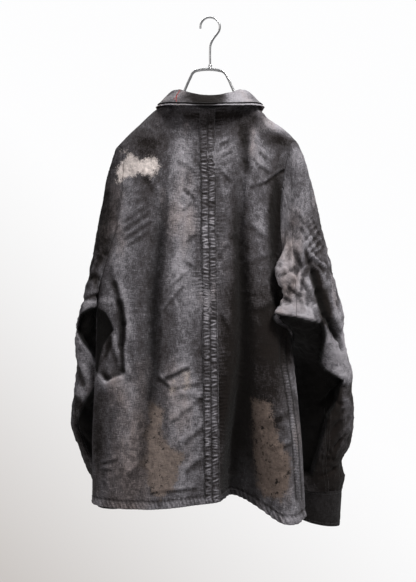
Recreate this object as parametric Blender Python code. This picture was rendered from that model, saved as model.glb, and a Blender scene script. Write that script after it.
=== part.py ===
# Faded work jacket hanging on a chrome wire hanger, seen from its back.
# Sizes are in metres. Z is up and is zero where the hook hangs, the wearer faces +Y,
# and +X is the wearer's right, which is the right-hand side when the back is looked at.

import math

import bmesh
import bpy
import numpy as np
from mathutils import Vector

# Driving sizes of the cloth
CLOTH = 0.0016
TWO_LAYERS = 0.003
SEAM_GAP = 0.0005
HEM_TURN = 0.013
HEM_RAISE = 0.0008
ARMPIT_Z = -0.543

# Neck, where the collar is sewn on
NECK_HALF = 0.076
NECK_BACK_Y = -0.042
NECK_FRONT_Y = 0.040
NECK_SIDE_Z = -0.158
NECK_BACK_DROP = 0.020
NECK_FRONT_DROP = 0.076
NECK_SHARE = 0.42

# Half width of the body by height, first the wearer's left and then the right
LEFT_HALF = ((-0.940, 0.223), (-0.800, 0.224), (-0.672, 0.218), (-0.543, 0.214), (-0.459, 0.206),
             (-0.392, 0.196), (-0.326, 0.189), (-0.246, 0.178))
RIGHT_HALF = ((-0.940, 0.178), (-0.800, 0.172), (-0.672, 0.160), (-0.543, 0.147), (-0.459, 0.148),
              (-0.392, 0.150), (-0.316, 0.156), (-0.240, 0.165))
# How far the back stands out behind the side seams, and the front before them, by height
BACK_DEPTH = ((-0.940, 0.066), (-0.760, 0.064), (-0.543, 0.058), (-0.400, 0.050), (-0.300, 0.040),
              (-0.230, 0.030), (-0.150, 0.022))
FRONT_DEPTH = ((-0.940, 0.028), (-0.700, 0.028), (-0.543, 0.029), (-0.400, 0.034), (-0.300, 0.036),
               (-0.230, 0.030), (-0.150, 0.022))
SIDE_ROUND = 2.6
# The ridge of each shoulder and the hem, as distance from the middle and height
LEFT_RIDGE = ((0.076, -0.158), (0.101, -0.175), (0.131, -0.204), (0.150, -0.220), (0.178, -0.246))
RIGHT_RIDGE = ((0.076, -0.158), (0.094, -0.176), (0.110, -0.198), (0.133, -0.219), (0.165, -0.240))
HEM_LINE = ((-0.222, -0.917), (-0.150, -0.920), (-0.095, -0.918), (-0.020, -0.909), (0.016, -0.904),
            (0.042, -0.900), (0.082, -0.911), (0.129, -0.934), (0.178, -0.938))
FRONT_HEM_Z = -0.903
MIDDLE_LINE = ((-0.930, 0.004), (-0.165, -0.006))
ARMHOLE_CUT = 34.0
RIDGE_ROLL = 0.06

# Two deep folds run down the back: height, place across, depth, width to the left, to the right
LEFT_FOLD = ((-0.930, -0.135, 0.002, 0.016, 0.012), (-0.800, -0.127, 0.011, 0.016, 0.012),
             (-0.680, -0.110, 0.017, 0.015, 0.011), (-0.500, -0.103, 0.018, 0.014, 0.011),
             (-0.430, -0.095, 0.016, 0.014, 0.011), (-0.330, -0.092, 0.006, 0.014, 0.012),
             (-0.260, -0.090, 0.000, 0.014, 0.012))
RIGHT_FOLD = ((-0.930, 0.036, 0.054, 0.014, 0.048), (-0.800, 0.042, 0.042, 0.013, 0.040),
              (-0.687, 0.055, 0.026, 0.013, 0.026), (-0.500, 0.058, 0.018, 0.012, 0.014),
              (-0.400, 0.051, 0.015, 0.011, 0.013), (-0.320, 0.049, 0.009, 0.011, 0.014),
              (-0.230, 0.048, 0.000, 0.011, 0.014))
# The cloth sinks beside the right sleeve and swells out over the right of the hem
SLEEVE_GROOVE = ((-0.700, 0.150, 0.000), (-0.600, 0.136, 0.010), (-0.480, 0.122, 0.015),
                 (-0.330, 0.128, 0.013), (-0.260, 0.138, 0.000))
HEM_SWELL = ((-0.930, 0.140, -0.034), (-0.760, 0.128, -0.018), (-0.600, 0.105, -0.006),
             (-0.450, 0.095, 0.000))

# Each sleeve as level rings from the armpit down:
# height, middle across, middle fore and aft, half across, half fore and aft, turn in degrees
LEFT_RINGS = ((-0.578, -0.231, 0.026, 0.020, 0.055, -8.0), (-0.617, -0.229, 0.046, 0.023, 0.062, -14.0),
              (-0.660, -0.224, 0.064, 0.028, 0.070, -16.0), (-0.713, -0.227, 0.072, 0.032, 0.070, -16.0),
              (-0.778, -0.233, 0.080, 0.036, 0.068, -14.0), (-0.826, -0.221, 0.086, 0.036, 0.062, -12.0),
              (-0.858, -0.211, 0.090, 0.036, 0.056, -8.0), (-0.880, -0.204, 0.094, 0.036, 0.047, -4.0),
              (-0.893, -0.198, 0.096, 0.036, 0.040, 0.0))
RIGHT_RINGS = ((-0.568, 0.197, -0.014, 0.046, 0.080, -34.0), (-0.606, 0.205, 0.014, 0.046, 0.070, -26.0),
               (-0.649, 0.214, 0.046, 0.056, 0.060, -10.0), (-0.713, 0.217, 0.068, 0.063, 0.056, 0.0),
               (-0.778, 0.219, 0.082, 0.064, 0.054, 0.0), (-0.826, 0.218, 0.090, 0.060, 0.052, 0.0),
               (-0.858, 0.216, 0.096, 0.047, 0.050, 0.0), (-0.891, 0.222, 0.100, 0.046, 0.046, 0.0),
               (-0.912, 0.225, 0.102, 0.040, 0.040, 0.0))
# Each cuff: middle at its top and at its bottom, half across, half fore and aft
LEFT_CUFF = ((-0.198, 0.096, -0.8934), (-0.190, 0.098, -0.946), 0.036, 0.040)
RIGHT_CUFF = ((0.225, 0.102, -0.9124), (0.221, 0.106, -0.981), 0.040, 0.040)

# Room left between the body and a sleeve that hangs against it, and how far a sleeve swells past its seam
BODY_ROOM = 0.005
SEAM_SWELL = 0.008
# How far each sleeve swells outward above the elbow and is drawn in above the armpit
LEFT_SHAPE = (0.006, 0.004)
RIGHT_SHAPE = (0.010, 0.000)
# How far the right sleeve's fold hangs over the body, by height, and where round the sleeve it is
OVERHANG = ((-0.640, 0.000), (-0.600, 0.000), (-0.568, 0.023), (-0.535, 0.012), (-0.500, 0.023),
            (-0.440, 0.012), (-0.390, 0.000))
OVERHANG_TURN = 112.0
OVERHANG_WIDTH = 38.0
# The two seams of a sleeve, as columns of points counted round from its outermost line
BACK_SEAM = 5
FRONT_SEAM = 17

# Centre back seam
BAND_HALF = 0.014
BAND_CLOTH = 0.0012
PUCKER_PITCH = 0.0068
PUCKER_RISE = 0.0010

# Panels share these places across and down, so that their edges meet
ACROSS = (0.0, 0.105, 0.21, 0.315, 0.42, 0.51, 0.60, 0.69, 0.78, 0.87, 0.95, 1.0)
ROWS_ABOVE_ARMPIT = 11
ROWS_BELOW_ARMPIT = 9

# Front closure
PLACKET_HALF = 0.018
COLLAR_PARTING = 0.12
COLLAR_TURN = 172.0
BUTTON_RADIUS = 0.0085
BUTTON_THICK = 0.003
BUTTON_HEIGHTS = (-0.285, -0.410, -0.535, -0.660, -0.785)

# Hanger
WIRE_RADIUS = 0.00175
HOOK_RADIUS = 0.0020
HOOK_LOOP = 0.0185
FERRULE_RADIUS = 0.0042
FERRULE_LENGTH = 0.0085
FERRULE_Z = -0.0930
# Half the distance between the two wire runs on the shoulders and in the neck
WIRE_APART = 0.007
NECK_WIRE_APART = 0.0045
WIRE_END_REACH = 0.0070
SEAT_GAP = 0.0013


def clear_scene():
    for thing in list(bpy.data.objects):
        bpy.data.objects.remove(thing, do_unlink=True)


def read(stations, at, column=1):
    """Smooth value between stations whose first column rises."""
    table = np.array(stations)
    places = table[:, 0]
    values = table[:, column]
    slopes = np.gradient(values, places)
    at = np.clip(at, places[0], places[-1])
    high = np.clip(np.searchsorted(places, at, side="right"), 1, len(places) - 1)
    low = high - 1
    span = places[high] - places[low]
    t = (at - places[low]) / span
    start = values[low] * (1 + 2 * t) * (1 - t) ** 2 + slopes[low] * span * t * (1 - t) ** 2
    finish = values[high] * t * t * (3 - 2 * t) + slopes[high] * span * t * t * (t - 1)
    return start + finish


def ease(t):
    t = np.clip(t, 0.0, 1.0)
    return t * t * (3 - 2 * t)


def trough(across, centre, depth, left, right):
    """A soft furrow with a width of its own on each side."""
    width = np.where(across < centre, left, right)
    return depth * np.exp(-((across - centre) / width) ** 2)


def back_folds(x, z):
    """How far the back sinks inward at a place."""
    sink = trough(x, read(LEFT_FOLD, z, 1), read(LEFT_FOLD, z, 2), read(LEFT_FOLD, z, 3), read(LEFT_FOLD, z, 4))
    sink += trough(x, read(RIGHT_FOLD, z, 1), read(RIGHT_FOLD, z, 2), read(RIGHT_FOLD, z, 3), read(RIGHT_FOLD, z, 4))
    sink += trough(x, read(SLEEVE_GROOVE, z, 1), read(SLEEVE_GROOVE, z, 2), 0.013, 0.016)
    sink += trough(x, read(HEM_SWELL, z, 1), read(HEM_SWELL, z, 2), 0.036, 0.040)
    return sink


def section(side, z, front):
    """Level section of the body: side runs from -1 at the left seam to 1 at the right seam."""
    share = np.abs(side)
    middle = read(tuple(sorted(MIDDLE_LINE)), z)
    half = np.where(side < 0, read(LEFT_HALF, z) + middle, read(RIGHT_HALF, z) - middle)
    x = middle + side * half
    roundness = np.clip(1 - share ** SIDE_ROUND, 0, 1) ** (1 / SIDE_ROUND)
    lean = -0.022 * ease((side + 0.2) / 1.2) * ease((-z - 0.45) / 0.4)
    if front:
        return x, lean * roundness + read(FRONT_DEPTH, z) * roundness + lean * (1 - roundness)
    sink = back_folds(x, z) * ease((1 - share) / 0.12)
    return x, lean - read(BACK_DEPTH, z) * roundness + sink


def top_edge(side, front):
    """Neck seam and shoulder ridge."""
    share = np.abs(side)
    sign = np.where(side < 0, -1.0, 1.0)
    round_neck = np.clip(share / NECK_SHARE, 0, 1) * math.pi / 2
    out = np.clip((share - NECK_SHARE) / (1 - NECK_SHARE), 0, 1)
    tip = np.where(side < 0, LEFT_RIDGE[-1][0], RIGHT_RIDGE[-1][0])
    x = sign * np.where(share < NECK_SHARE, NECK_HALF * np.sin(round_neck), NECK_HALF + (tip - NECK_HALF) * out)
    y = (NECK_FRONT_Y if front else NECK_BACK_Y) * np.cos(round_neck)
    drop = NECK_FRONT_DROP if front else NECK_BACK_DROP
    ridge = np.where(side < 0, read(LEFT_RIDGE, np.abs(x)), read(RIGHT_RIDGE, np.abs(x)))
    z = np.where(share < NECK_SHARE, NECK_SIDE_Z - drop * np.cos(round_neck) ** (3 if front else 2), ridge)
    return x, y, z


def torso(side, down, front=False):
    """Outer surface of the body: down is 0 at the top edge, 1 at the armpit and 2 at the hem."""
    side, down = np.broadcast_arrays(np.clip(side, -1.0, 1.0), np.asarray(down, float))
    top_x, top_y, top_z = top_edge(side, front)
    upper = np.clip(down, 0.0, 1.0)
    roll = np.clip(upper / 0.25, 0, 1) * math.pi / 2
    rolled = RIDGE_ROLL * (1 - np.cos(roll)) + (1 - RIDGE_ROLL) * np.clip((upper - 0.25) / 0.75, 0, 1)
    on_shoulder = ease((np.abs(side) - 0.30) / 0.16)
    z = top_z + (ARMPIT_Z - top_z) * rolled
    middle_hem = read(HEM_LINE, section(side, -0.91 + 0 * side, front)[0])
    hem = FRONT_HEM_Z + (middle_hem - FRONT_HEM_Z) * np.abs(side) ** 6 if front else middle_hem
    z = z + (hem - ARMPIT_Z) * np.clip(down - 1, 0, 1)
    x, y = section(side, z, front)
    start_x, _ = section(side, top_z, front)
    x = x + (top_x - start_x) * (1 - ease(upper))
    spread = on_shoulder * np.sin(roll) + (1 - on_shoulder) * ease(upper * 2.5)
    y = top_y + (y - top_y) * spread
    return np.stack([x, y, z], axis=-1)


def torso_outward(side, down, front=False):
    """Outward direction of the body's surface, level all round the neck seam."""
    side, down = np.broadcast_arrays(np.asarray(side, float), np.asarray(down, float))
    beside = np.clip(side, -0.9995, 0.9995)
    below = np.maximum(down, 4e-3)
    reach = np.minimum((1 - np.abs(beside)) / 2, 0.03)
    step = 2e-4
    across = torso(beside + reach, below, front) - torso(beside - reach, below, front)
    along = torso(beside, below - step, front) - torso(beside, below + step, front)
    outward = np.cross(across, along)
    outward /= np.linalg.norm(outward, axis=-1, keepdims=True)
    outward = -outward if front else outward
    on_ridge = (down < 1e-6) & (np.abs(side) >= NECK_SHARE)
    outward[..., 1] = np.where(on_ridge, 0, outward[..., 1])
    round_neck = np.clip(side / NECK_SHARE, -1, 1) * math.pi / 2
    upright = 0.6 * ease((np.abs(side) / NECK_SHARE - 0.7) / 0.3)
    level = np.stack([np.sin(round_neck), np.cos(round_neck) * (1 if front else -1), upright], axis=-1)
    level /= np.linalg.norm(level, axis=-1, keepdims=True)
    at_neck = (down < 1e-6) & (np.abs(side) < NECK_SHARE + 1e-6)
    return np.where(at_neck[..., None], level, outward)


def armhole_share(down):
    """How much of the half width a panel covers, less where the armhole is cut out."""
    opening = math.radians(ARMHOLE_CUT) * np.sin(math.pi * np.clip(down, 0, 1)) ** 0.7
    return np.cos(opening) ** (2 / SIDE_ROUND)


def down_steps():
    above = np.linspace(0, 1, ROWS_ABOVE_ARMPIT + 1)
    turn = HEM_TURN / (-FRONT_HEM_Z + ARMPIT_Z)
    below = np.linspace(1, 2 - 1.25 * turn, ROWS_BELOW_ARMPIT + 1)
    return np.concatenate([above, below[1:], [2 - turn, 2.0]])


def hem_thickness(down):
    turn = HEM_TURN / (-FRONT_HEM_Z + ARMPIT_Z)
    return np.where(down > 2 - 1.1 * turn, HEM_RAISE, 0.0)


def soften(outward, closed):
    """Even out directions inside a sheet, and leave those on its edges."""
    for _ in range(3):
        if closed:
            beside = np.roll(outward, 1, axis=1) + np.roll(outward, -1, axis=1)
            outward[1:-1] += beside[1:-1] + outward[2:] + outward[:-2]
        else:
            inside = outward[1:-1, 2:] + outward[1:-1, :-2] + outward[2:, 1:-1] + outward[:-2, 1:-1]
            outward[1:-1, 1:-1] += inside
        outward /= np.linalg.norm(outward, axis=-1, keepdims=True)
    return outward


def panel_points(shares, front=False):
    """Outer and inner points of a panel, row by row from the hem up, from -X to +X."""
    downs = down_steps()[::-1]
    side, down = np.meshgrid(shares, downs)
    side = side * armhole_share(down)
    outward = soften(torso_outward(side, down, front), False)
    outer = torso(side, down, front) + outward * hem_thickness(down)[..., None]
    inner = torso(side, down, front) - outward * CLOTH
    return outer, inner


def pull_back(points, edges):
    """Trim half a seam gap from the named edges of a sheet of points."""
    points = points.copy()
    for edge in edges:
        turned = {"low": points, "high": points[::-1], "left": points.swapaxes(0, 1),
                  "right": points.swapaxes(0, 1)[::-1]}[edge]
        step = turned[1] - turned[0]
        turned[0] += step / np.linalg.norm(step, axis=-1, keepdims=True) * SEAM_GAP / 2
    return points


def grid_outward(points, closed):
    """Outward direction at each point of a grid whose columns turn left to right, rows upward."""
    if closed:
        wide = np.roll(points, -1, axis=1) - np.roll(points, 1, axis=1)
    else:
        wide = np.gradient(points, axis=1)
    outward = np.cross(wide, np.gradient(points, axis=0))
    return outward / np.linalg.norm(outward, axis=-1, keepdims=True)


def make_wall(name, outer, inner, closed, material):
    """One closed body between an outer and an inner sheet of points."""
    rows, columns = outer.shape[:2]
    mesh = bpy.data.meshes.new(name)
    bm = bmesh.new()
    place = bm.verts.layers.int.new("place")
    if closed:
        outer = np.concatenate([outer, outer[:, :1]], axis=1)
        inner = np.concatenate([inner, inner[:, :1]], axis=1)
        columns += 1
    bmesh.ops.create_grid(bm, x_segments=columns - 1, y_segments=rows - 1, size=1.0)
    bm.verts.ensure_lookup_table()
    outer_flat = outer.reshape(-1, 3)
    inner_flat = inner.reshape(-1, 3)
    for index, vert in enumerate(bm.verts):
        vert[place] = index
        vert.co = outer_flat[index]
    if closed:
        bmesh.ops.remove_doubles(bm, verts=bm.verts, dist=1e-6)
    grown = bmesh.ops.extrude_face_region(bm, geom=bm.faces[:], use_keep_orig=True)
    for item in grown["geom"]:
        if isinstance(item, bmesh.types.BMVert):
            item.co = inner_flat[item[place]]
    bmesh.ops.recalc_face_normals(bm, faces=bm.faces)
    bm.verts.layers.int.remove(place)
    bm.to_mesh(mesh)
    bm.free()
    for face in mesh.polygons:
        face.use_smooth = True
    return add_object(name, mesh, material)


def add_object(name, mesh, material):
    thing = bpy.data.objects.new(name, mesh)
    mesh.materials.append(material)
    bpy.data.collections["jacket_on_hanger"].objects.link(thing)
    return thing


def make_material(name, colour, roughness, metallic=0.0):
    material = bpy.data.materials.new(name)
    material.use_nodes = True
    surface = material.node_tree.nodes["Principled BSDF"]
    surface.inputs["Base Color"].default_value = (*colour, 1.0)
    surface.inputs["Roughness"].default_value = roughness
    surface.inputs["Metallic"].default_value = metallic
    return material


def make_back(cloth):
    """The two back panels, which meet under the centre seam. Returns their points for that seam."""
    shares = np.array(ACROSS)
    left = panel_points(-shares[::-1])
    right = panel_points(shares)
    edges = ("left", "right", "high")
    for name, sheets in (("back_left", left), ("back_right", right)):
        make_wall(name, pull_back(sheets[0], edges), pull_back(sheets[1], edges), False, cloth)
    return np.concatenate([left[0], right[0][:, 1:]], axis=1)


def strip_on(panels, offsets, facing_side):
    """A strip along the middle of two joined panels, on their own points, with its outward directions."""
    strip = np.empty((len(panels), len(offsets), 3))
    for row, points in enumerate(panels):
        middle = points[len(ACROSS) - 1, 0]
        for axis in range(3):
            strip[row, :, axis] = np.interp(middle + offsets, points[:, 0], points[:, axis])
    return strip, facing_side * grid_outward(strip, False)


def resample(column, lengths, stations):
    return np.stack([np.interp(stations, lengths, column[:, axis]) for axis in range(3)], axis=-1)


def make_band(back, cloth):
    """Felled centre seam: a strip on the back's own points, moved out and puckered."""
    strip, outward = strip_on(back, np.array([-1.0, -0.4, 0.4, 1.0]) * BAND_HALF, 1)
    steps = np.linalg.norm(np.diff(strip[:, 1], axis=0), axis=-1)
    lengths = np.concatenate([[0], np.cumsum(steps)])
    waves = int(lengths[-1] / PUCKER_PITCH)
    stations = np.linspace(0, lengths[-1], 2 * waves + 1)
    base = np.stack([resample(column, lengths, stations) for column in strip.swapaxes(0, 1)], axis=1)
    lift = np.stack([resample(column, lengths, stations) for column in outward.swapaxes(0, 1)], axis=1)
    middle = resample(back[:, len(ACROSS) - 1], lengths, stations)
    ridge = ((middle - (base[:, 1] + base[:, 2]) / 2) * lift[:, 1]).sum(axis=-1)
    clear = SEAM_GAP + np.maximum(ridge, 0)[:, None, None]
    pucker = np.zeros((len(stations), base.shape[1], 1))
    pucker[1::2, 1:3] = PUCKER_RISE
    make_wall("back_seam", base + lift * (clear + BAND_CLOTH + pucker), base + lift * clear, False, cloth)


def make_fronts(cloth):
    """The two fronts, which meet under the placket strip. Returns their points for that strip."""
    shares = np.array(ACROSS)
    left = panel_points(-shares[::-1], front=True)
    right = panel_points(shares, front=True)
    edges = ("left", "right", "high")
    for name, sheets in (("front_left", left), ("front_right", right)):
        make_wall(name, pull_back(sheets[0], edges), pull_back(sheets[1], edges), False, cloth)
    return np.concatenate([left[0], right[0][:, 1:]], axis=1)


def make_placket(front, cloth):
    """Plain strip over the join of the fronts, which carries the buttons."""
    strip, outward = strip_on(front, np.array([-1.0, 0.0, 1.0]) * PLACKET_HALF, -1)
    outer = strip + outward * (SEAM_GAP + TWO_LAYERS)
    make_wall("front_placket", outer, strip + outward * SEAM_GAP, False, cloth)
    return outer[:, 1], outward[:, 1]


def armhole_loop(sign):
    """Points and outward directions round an armhole, down the back edge and up the front."""
    downs = np.linspace(0, 1, ROWS_ABOVE_ARMPIT + 1)
    side = sign * armhole_share(downs)
    back = torso(side, downs)
    front = torso(side, downs, front=True)
    back_out = torso_outward(side, downs)
    front_out = torso_outward(side, downs, front=True)
    loop = np.concatenate([back, front[-2:0:-1]])
    return loop, np.concatenate([back_out, front_out[-2:0:-1]])


def level_ring(sign, ring, count):
    """An oval ring whose first point is outermost and which then turns towards the back."""
    z, x, y, wide, deep, turn = ring
    angle = np.arange(count) / count * 2 * math.pi
    across = sign * wide * np.cos(angle)
    along = -deep * np.sin(angle)
    turn = math.radians(turn)
    return np.stack([x + across * math.cos(turn) - along * math.sin(turn),
                     y + across * math.sin(turn) + along * math.cos(turn),
                     np.full(count, z)], axis=-1)


def push_clear(points, sign, room):
    """Move points that would lie within the body, or nearer to it than the room given."""
    x, y, z = points[..., 0], points[..., 1], points[..., 2]
    middle = section(0 * z, z, False)[0]
    edge, centre = section(sign + 0 * z, z, False)
    half = np.abs(edge - middle) + room
    across = (x - middle) / half
    deep = np.where(y < centre, read(BACK_DEPTH, z), read(FRONT_DEPTH, z)) + room
    along = (y - centre) / deep
    size = (np.abs(across) ** SIDE_ROUND + np.abs(along) ** SIDE_ROUND) ** (1 / SIDE_ROUND)
    grow = np.maximum(1 / np.maximum(size, 0.3), 1.0)
    return np.stack([middle + across * half * grow, centre + along * deep * grow, z], axis=-1)


def hang_over(row, share):
    """Draw a fold of the right sleeve inward over the body, by a share of its full reach."""
    angle = np.arange(len(row)) / len(row) * 360
    round_share = ease(1 - np.abs(angle - OVERHANG_TURN) / OVERHANG_WIDTH)
    reach = share * read(OVERHANG, row[:, 2]) * round_share
    return row + np.stack([-reach, -0.3 * reach, 0 * reach], axis=-1)


def sleeve_rows(sign, rings, shape):
    """Rows of a sleeve from its cuff end up to the armhole."""
    loop, loop_out = armhole_loop(sign)
    count = len(loop)
    first = level_ring(sign, rings[0], count)
    bulge, waist = shape
    outer_share = 0.5 + 0.5 * np.cos(np.arange(count) / count * 2 * math.pi)
    rows = []
    for step in np.linspace(0, 1, 7)[:-1]:
        puff = (bulge * outer_share + SEAM_SWELL * (1 - outer_share)) * math.sin(math.pi * step ** 0.6)
        puff = sign * (puff - waist * outer_share * math.sin(math.pi * step ** 2))
        row = loop + (first - loop) * step
        row[:, 0] += puff
        row = row + (push_clear(row, sign, BODY_ROOM * step) - row) * ease(step / 0.4)
        rows.append(hang_over(row, ease((step - 0.1) / 0.4)) if sign > 0 else row)
    heights = [ring[0] for ring in rings]
    table = sorted(rings)
    for z in sorted(set(heights) | {(a + b) / 2 for a, b in zip(heights[:5], heights[1:6])}, reverse=True):
        ring = (z, *(float(read(table, z, column)) for column in range(1, 6)))
        row = push_clear(level_ring(sign, ring, count), sign, BODY_ROOM)
        rows.append(hang_over(row, 1.0) if sign > 0 else row)
    return np.array(rows[::-1]), loop_out


def make_sleeve(name, sign, rings, shape, cloth):
    """A sleeve of two halves, which meet along a back seam and a front seam."""
    rows, loop_out = sleeve_rows(sign, rings, shape)
    seams = (BACK_SEAM, FRONT_SEAM)
    if sign > 0:
        rows = rows[:, ::-1]
        loop_out = loop_out[::-1]
        seams = (rows.shape[1] - 1 - FRONT_SEAM, rows.shape[1] - 1 - BACK_SEAM)
    outward = grid_outward(rows, True)
    away = rows[-2] - rows[-1]
    rise = (away * loop_out).sum(axis=-1) / np.linalg.norm(away, axis=-1)
    own = ease((rise + 0.10) / 0.12)[:, None]
    outward[-1] = own * outward[-1] + (1 - own) * loop_out
    outward[-1] /= np.linalg.norm(outward[-1], axis=-1, keepdims=True)
    inner = rows - soften(outward, True) * CLOTH
    under = np.arange(seams[0], seams[1] + 1)
    top = np.arange(seams[1], seams[0] + rows.shape[1] + 1) % rows.shape[1]
    edges = ("low", "high", "left", "right")
    for half, columns in (("under", under), ("top", top)):
        make_wall(f"{name}_{half}", pull_back(rows[:, columns], edges), pull_back(inner[:, columns], edges),
                  False, cloth)


def make_cuff(name, sign, cuff, cloth):
    top, bottom, wide, deep = cuff
    rows = []
    for step in np.linspace(1, 0, 4):
        middle = [b + (t - b) * (1 - step) for t, b in zip(top, bottom)]
        rows.append(level_ring(sign, (middle[2], middle[0], middle[1], wide, deep, 0.0), 2 * ROWS_ABOVE_ARMPIT))
    rows = np.array(rows)
    centre = rows.mean(axis=1, keepdims=True)
    outward = rows - centre
    outward[..., 2] = 0
    outward /= np.linalg.norm(outward, axis=-1, keepdims=True)
    make_wall(name, pull_back(rows, ("high",)), pull_back(rows - outward * TWO_LAYERS, ("high",)), True, cloth)


def fold_line(turn):
    """Top edge of the collar, where it rolls over: turn is 0 at the back and 180 at the front."""
    front = np.abs(turn) > 90
    angle = np.radians(turn)
    x = 0.055 * np.sin(angle)
    y = -0.031 * np.cos(angle)
    z = -0.136 - np.where(front, 0.066, 0.008) * np.cos(angle) ** 2
    return np.stack([x, y, z], axis=-1)


def fall_edge(turn):
    """Lower edge of the turned-down collar."""
    front = np.abs(turn) > 90
    angle = np.radians(turn)
    x = 0.1045 * np.sin(angle)
    y = np.where(front, -0.058, -0.062) * np.cos(angle)
    z = -0.1685 + np.where(front, -0.1135, 0.0025) * np.abs(np.cos(angle)) ** 2.4
    return np.stack([x, y, z], axis=-1)


def neck_seam():
    """Neck seam with its outward directions: left of the front, round the back, right of the front."""
    shares = np.array(ACROSS[:5])
    back = np.concatenate([-shares[::-1], shares[1:]])
    front = np.concatenate([-shares[:-1], shares[-2::-1]])
    seam = np.concatenate([torso(front[:4], 0, True), torso(back, 0), torso(front[4:], 0, True)])
    outward = np.concatenate([torso_outward(front[:4], 0, True), torso_outward(back, 0),
                              torso_outward(front[4:], 0, True)])
    seam[0] += (seam[1] - seam[0]) * COLLAR_PARTING
    seam[-1] += (seam[-2] - seam[-1]) * COLLAR_PARTING
    return seam, outward


def make_collar(cloth):
    seam, seam_outward = neck_seam()
    turns = np.degrees(np.arctan2(seam[:, 0] / NECK_HALF, -seam[:, 1] / abs(NECK_BACK_Y)))
    top = fold_line(turns)
    stand = np.array([seam + (top - seam) * step for step in (0.0, 0.4, 0.8)])
    outward = grid_outward(stand, False)
    outward[0] = seam_outward
    make_wall("collar_stand", pull_back(stand, ("low",)), pull_back(stand - outward * CLOTH, ("low",)),
              False, cloth)
    turns = np.linspace(-COLLAR_TURN, COLLAR_TURN, 31)
    before = ease((np.abs(turns) - 50) / 50)
    high = fold_line(turns) * np.stack([1.06 + 0.04 * before, 1.10 + 0.30 * before, 1 + 0 * before], axis=-1)
    low = fall_edge(turns)
    rows = []
    lift = 0.001 + 0.013 * ease((np.abs(turns) - 82) / 26)
    for step in np.linspace(1, 0, 5):
        row = high + (low - high) * step
        row[:, 2] += lift * math.sin(math.pi * step ** 0.7)
        rows.append(row)
    fall = np.array(rows)
    make_wall("collar_fall", fall, fall - grid_outward(fall, False) * TWO_LAYERS, False, cloth)


def make_button(name, centre, outward, shell):
    """A round button lying on the cloth, facing outward."""
    mesh = bpy.data.meshes.new(name)
    bm = bmesh.new()
    bmesh.ops.create_cone(bm, cap_ends=True, segments=20, radius1=BUTTON_RADIUS, radius2=BUTTON_RADIUS,
                          depth=BUTTON_THICK)
    rims = [edge for edge in bm.edges if len({round(v.co.z, 6) for v in edge.verts}) == 1]
    bmesh.ops.bevel(bm, geom=rims, offset=0.0007, offset_type="OFFSET", segments=1, profile=0.5,
                    affect="EDGES", material=-1)
    bm.to_mesh(mesh)
    bm.free()
    button = add_object(name, mesh, shell)
    lift = SEAM_GAP + BUTTON_THICK / 2
    button.location = centre + outward * lift
    button.rotation_mode = "QUATERNION"
    button.rotation_quaternion = Vector(outward).to_track_quat("Z", "Y")
    return button


def make_buttons(strip, outward, shell):
    for number, height in enumerate(BUTTON_HEIGHTS, start=1):
        centre = np.array([np.interp(height, strip[:, 2], strip[:, axis]) for axis in range(3)])
        facing = np.array([np.interp(height, strip[:, 2], outward[:, axis]) for axis in range(3)])
        make_button(f"front_button_{number}", centre, facing / np.linalg.norm(facing), shell)


def make_tube(name, path, radius, cyclic, metal):
    """Round wire along a path."""
    curve = bpy.data.curves.new(name, "CURVE")
    curve.dimensions = "3D"
    curve.bevel_depth = radius
    curve.bevel_resolution = 2
    curve.use_fill_caps = not cyclic
    spline = curve.splines.new("POLY")
    spline.points.add(len(path) - 1)
    for point, place in zip(spline.points, path):
        point.co = (*place, 1.0)
    spline.use_cyclic_u = cyclic
    curve.materials.append(metal)
    wire = bpy.data.objects.new(name, curve)
    bpy.data.collections["jacket_on_hanger"].objects.link(wire)
    return wire


def hook_path():
    """From the tip over the crown, down the far side and into the straight neck."""
    centre_z = HOOK_RADIUS - HOOK_LOOP
    points = []
    for degrees in np.linspace(188, -40, 20):
        angle = math.radians(degrees)
        points.append((HOOK_LOOP * math.cos(angle), 0.0, centre_z + HOOK_LOOP * math.sin(angle)))
    stem = ((0.0065, -0.0385), (0.0030, -0.0450), (0.0006, -0.0520), (0.0, -0.0600), (0.0, -0.0885))
    return points + [(x, 0.0, z) for x, z in stem]


def under_ridge(side, y):
    """Where a wire run carries the shoulder: just under the cloth at a share of its width."""
    beside = side + np.array([-0.01, 0.0, 0.01])
    x, _, z = top_edge(beside, y > 0)
    slope = math.atan2(z[2] - z[0], x[2] - x[0])
    depth = abs(float(section(side, z[1], y > 0)[1]))
    turned = min((abs(y) + WIRE_RADIUS) / depth, 0.95)
    drop = RIDGE_ROLL * (z[1] - ARMPIT_Z) * (1 - math.sqrt(1 - turned ** 2))
    below = (CLOTH + WIRE_RADIUS + SEAT_GAP) / math.cos(slope)
    return (float(x[1]), y, float(z[1]) - drop - below)


def shoulder_wire(y):
    """One run of the hanger's wire from the left end to the right end."""
    near = math.copysign(NECK_WIRE_APART, y)
    neck = [(-0.077, y, -0.1700), (-0.062, y, -0.1600), (-0.053, y, -0.1485), (-0.047, y * 0.9, -0.1340),
            (-0.037, y * 0.8, -0.1120), (-0.032, near, -0.1030), (-0.026, near, -0.0995),
            (0.020, near, -0.0995), (0.027, near, -0.1030), (0.033, y * 0.8, -0.1120),
            (0.043, y * 0.9, -0.1340), (0.051, y, -0.1495), (0.061, y, -0.1610), (0.077, y, -0.1715)]
    shares = (0.51, 0.60, 0.69, 0.78, 0.87)
    left = [under_ridge(-share, y) for share in shares[::-1]]
    return left + neck + [under_ridge(share, y) for share in shares]


def wire_end(start, finish):
    """The turn at the hanger's end, from one run round to the other."""
    reach = math.copysign(WIRE_END_REACH, start[0])
    low = min(start[2], finish[2])
    corners = ((0.7 * start[1], 5 / 7), (0.0, 1.0), (0.7 * finish[1], 5 / 7))
    return [(start[0] + reach * share, y, low - WIRE_END_REACH * share) for y, share in corners]


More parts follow.
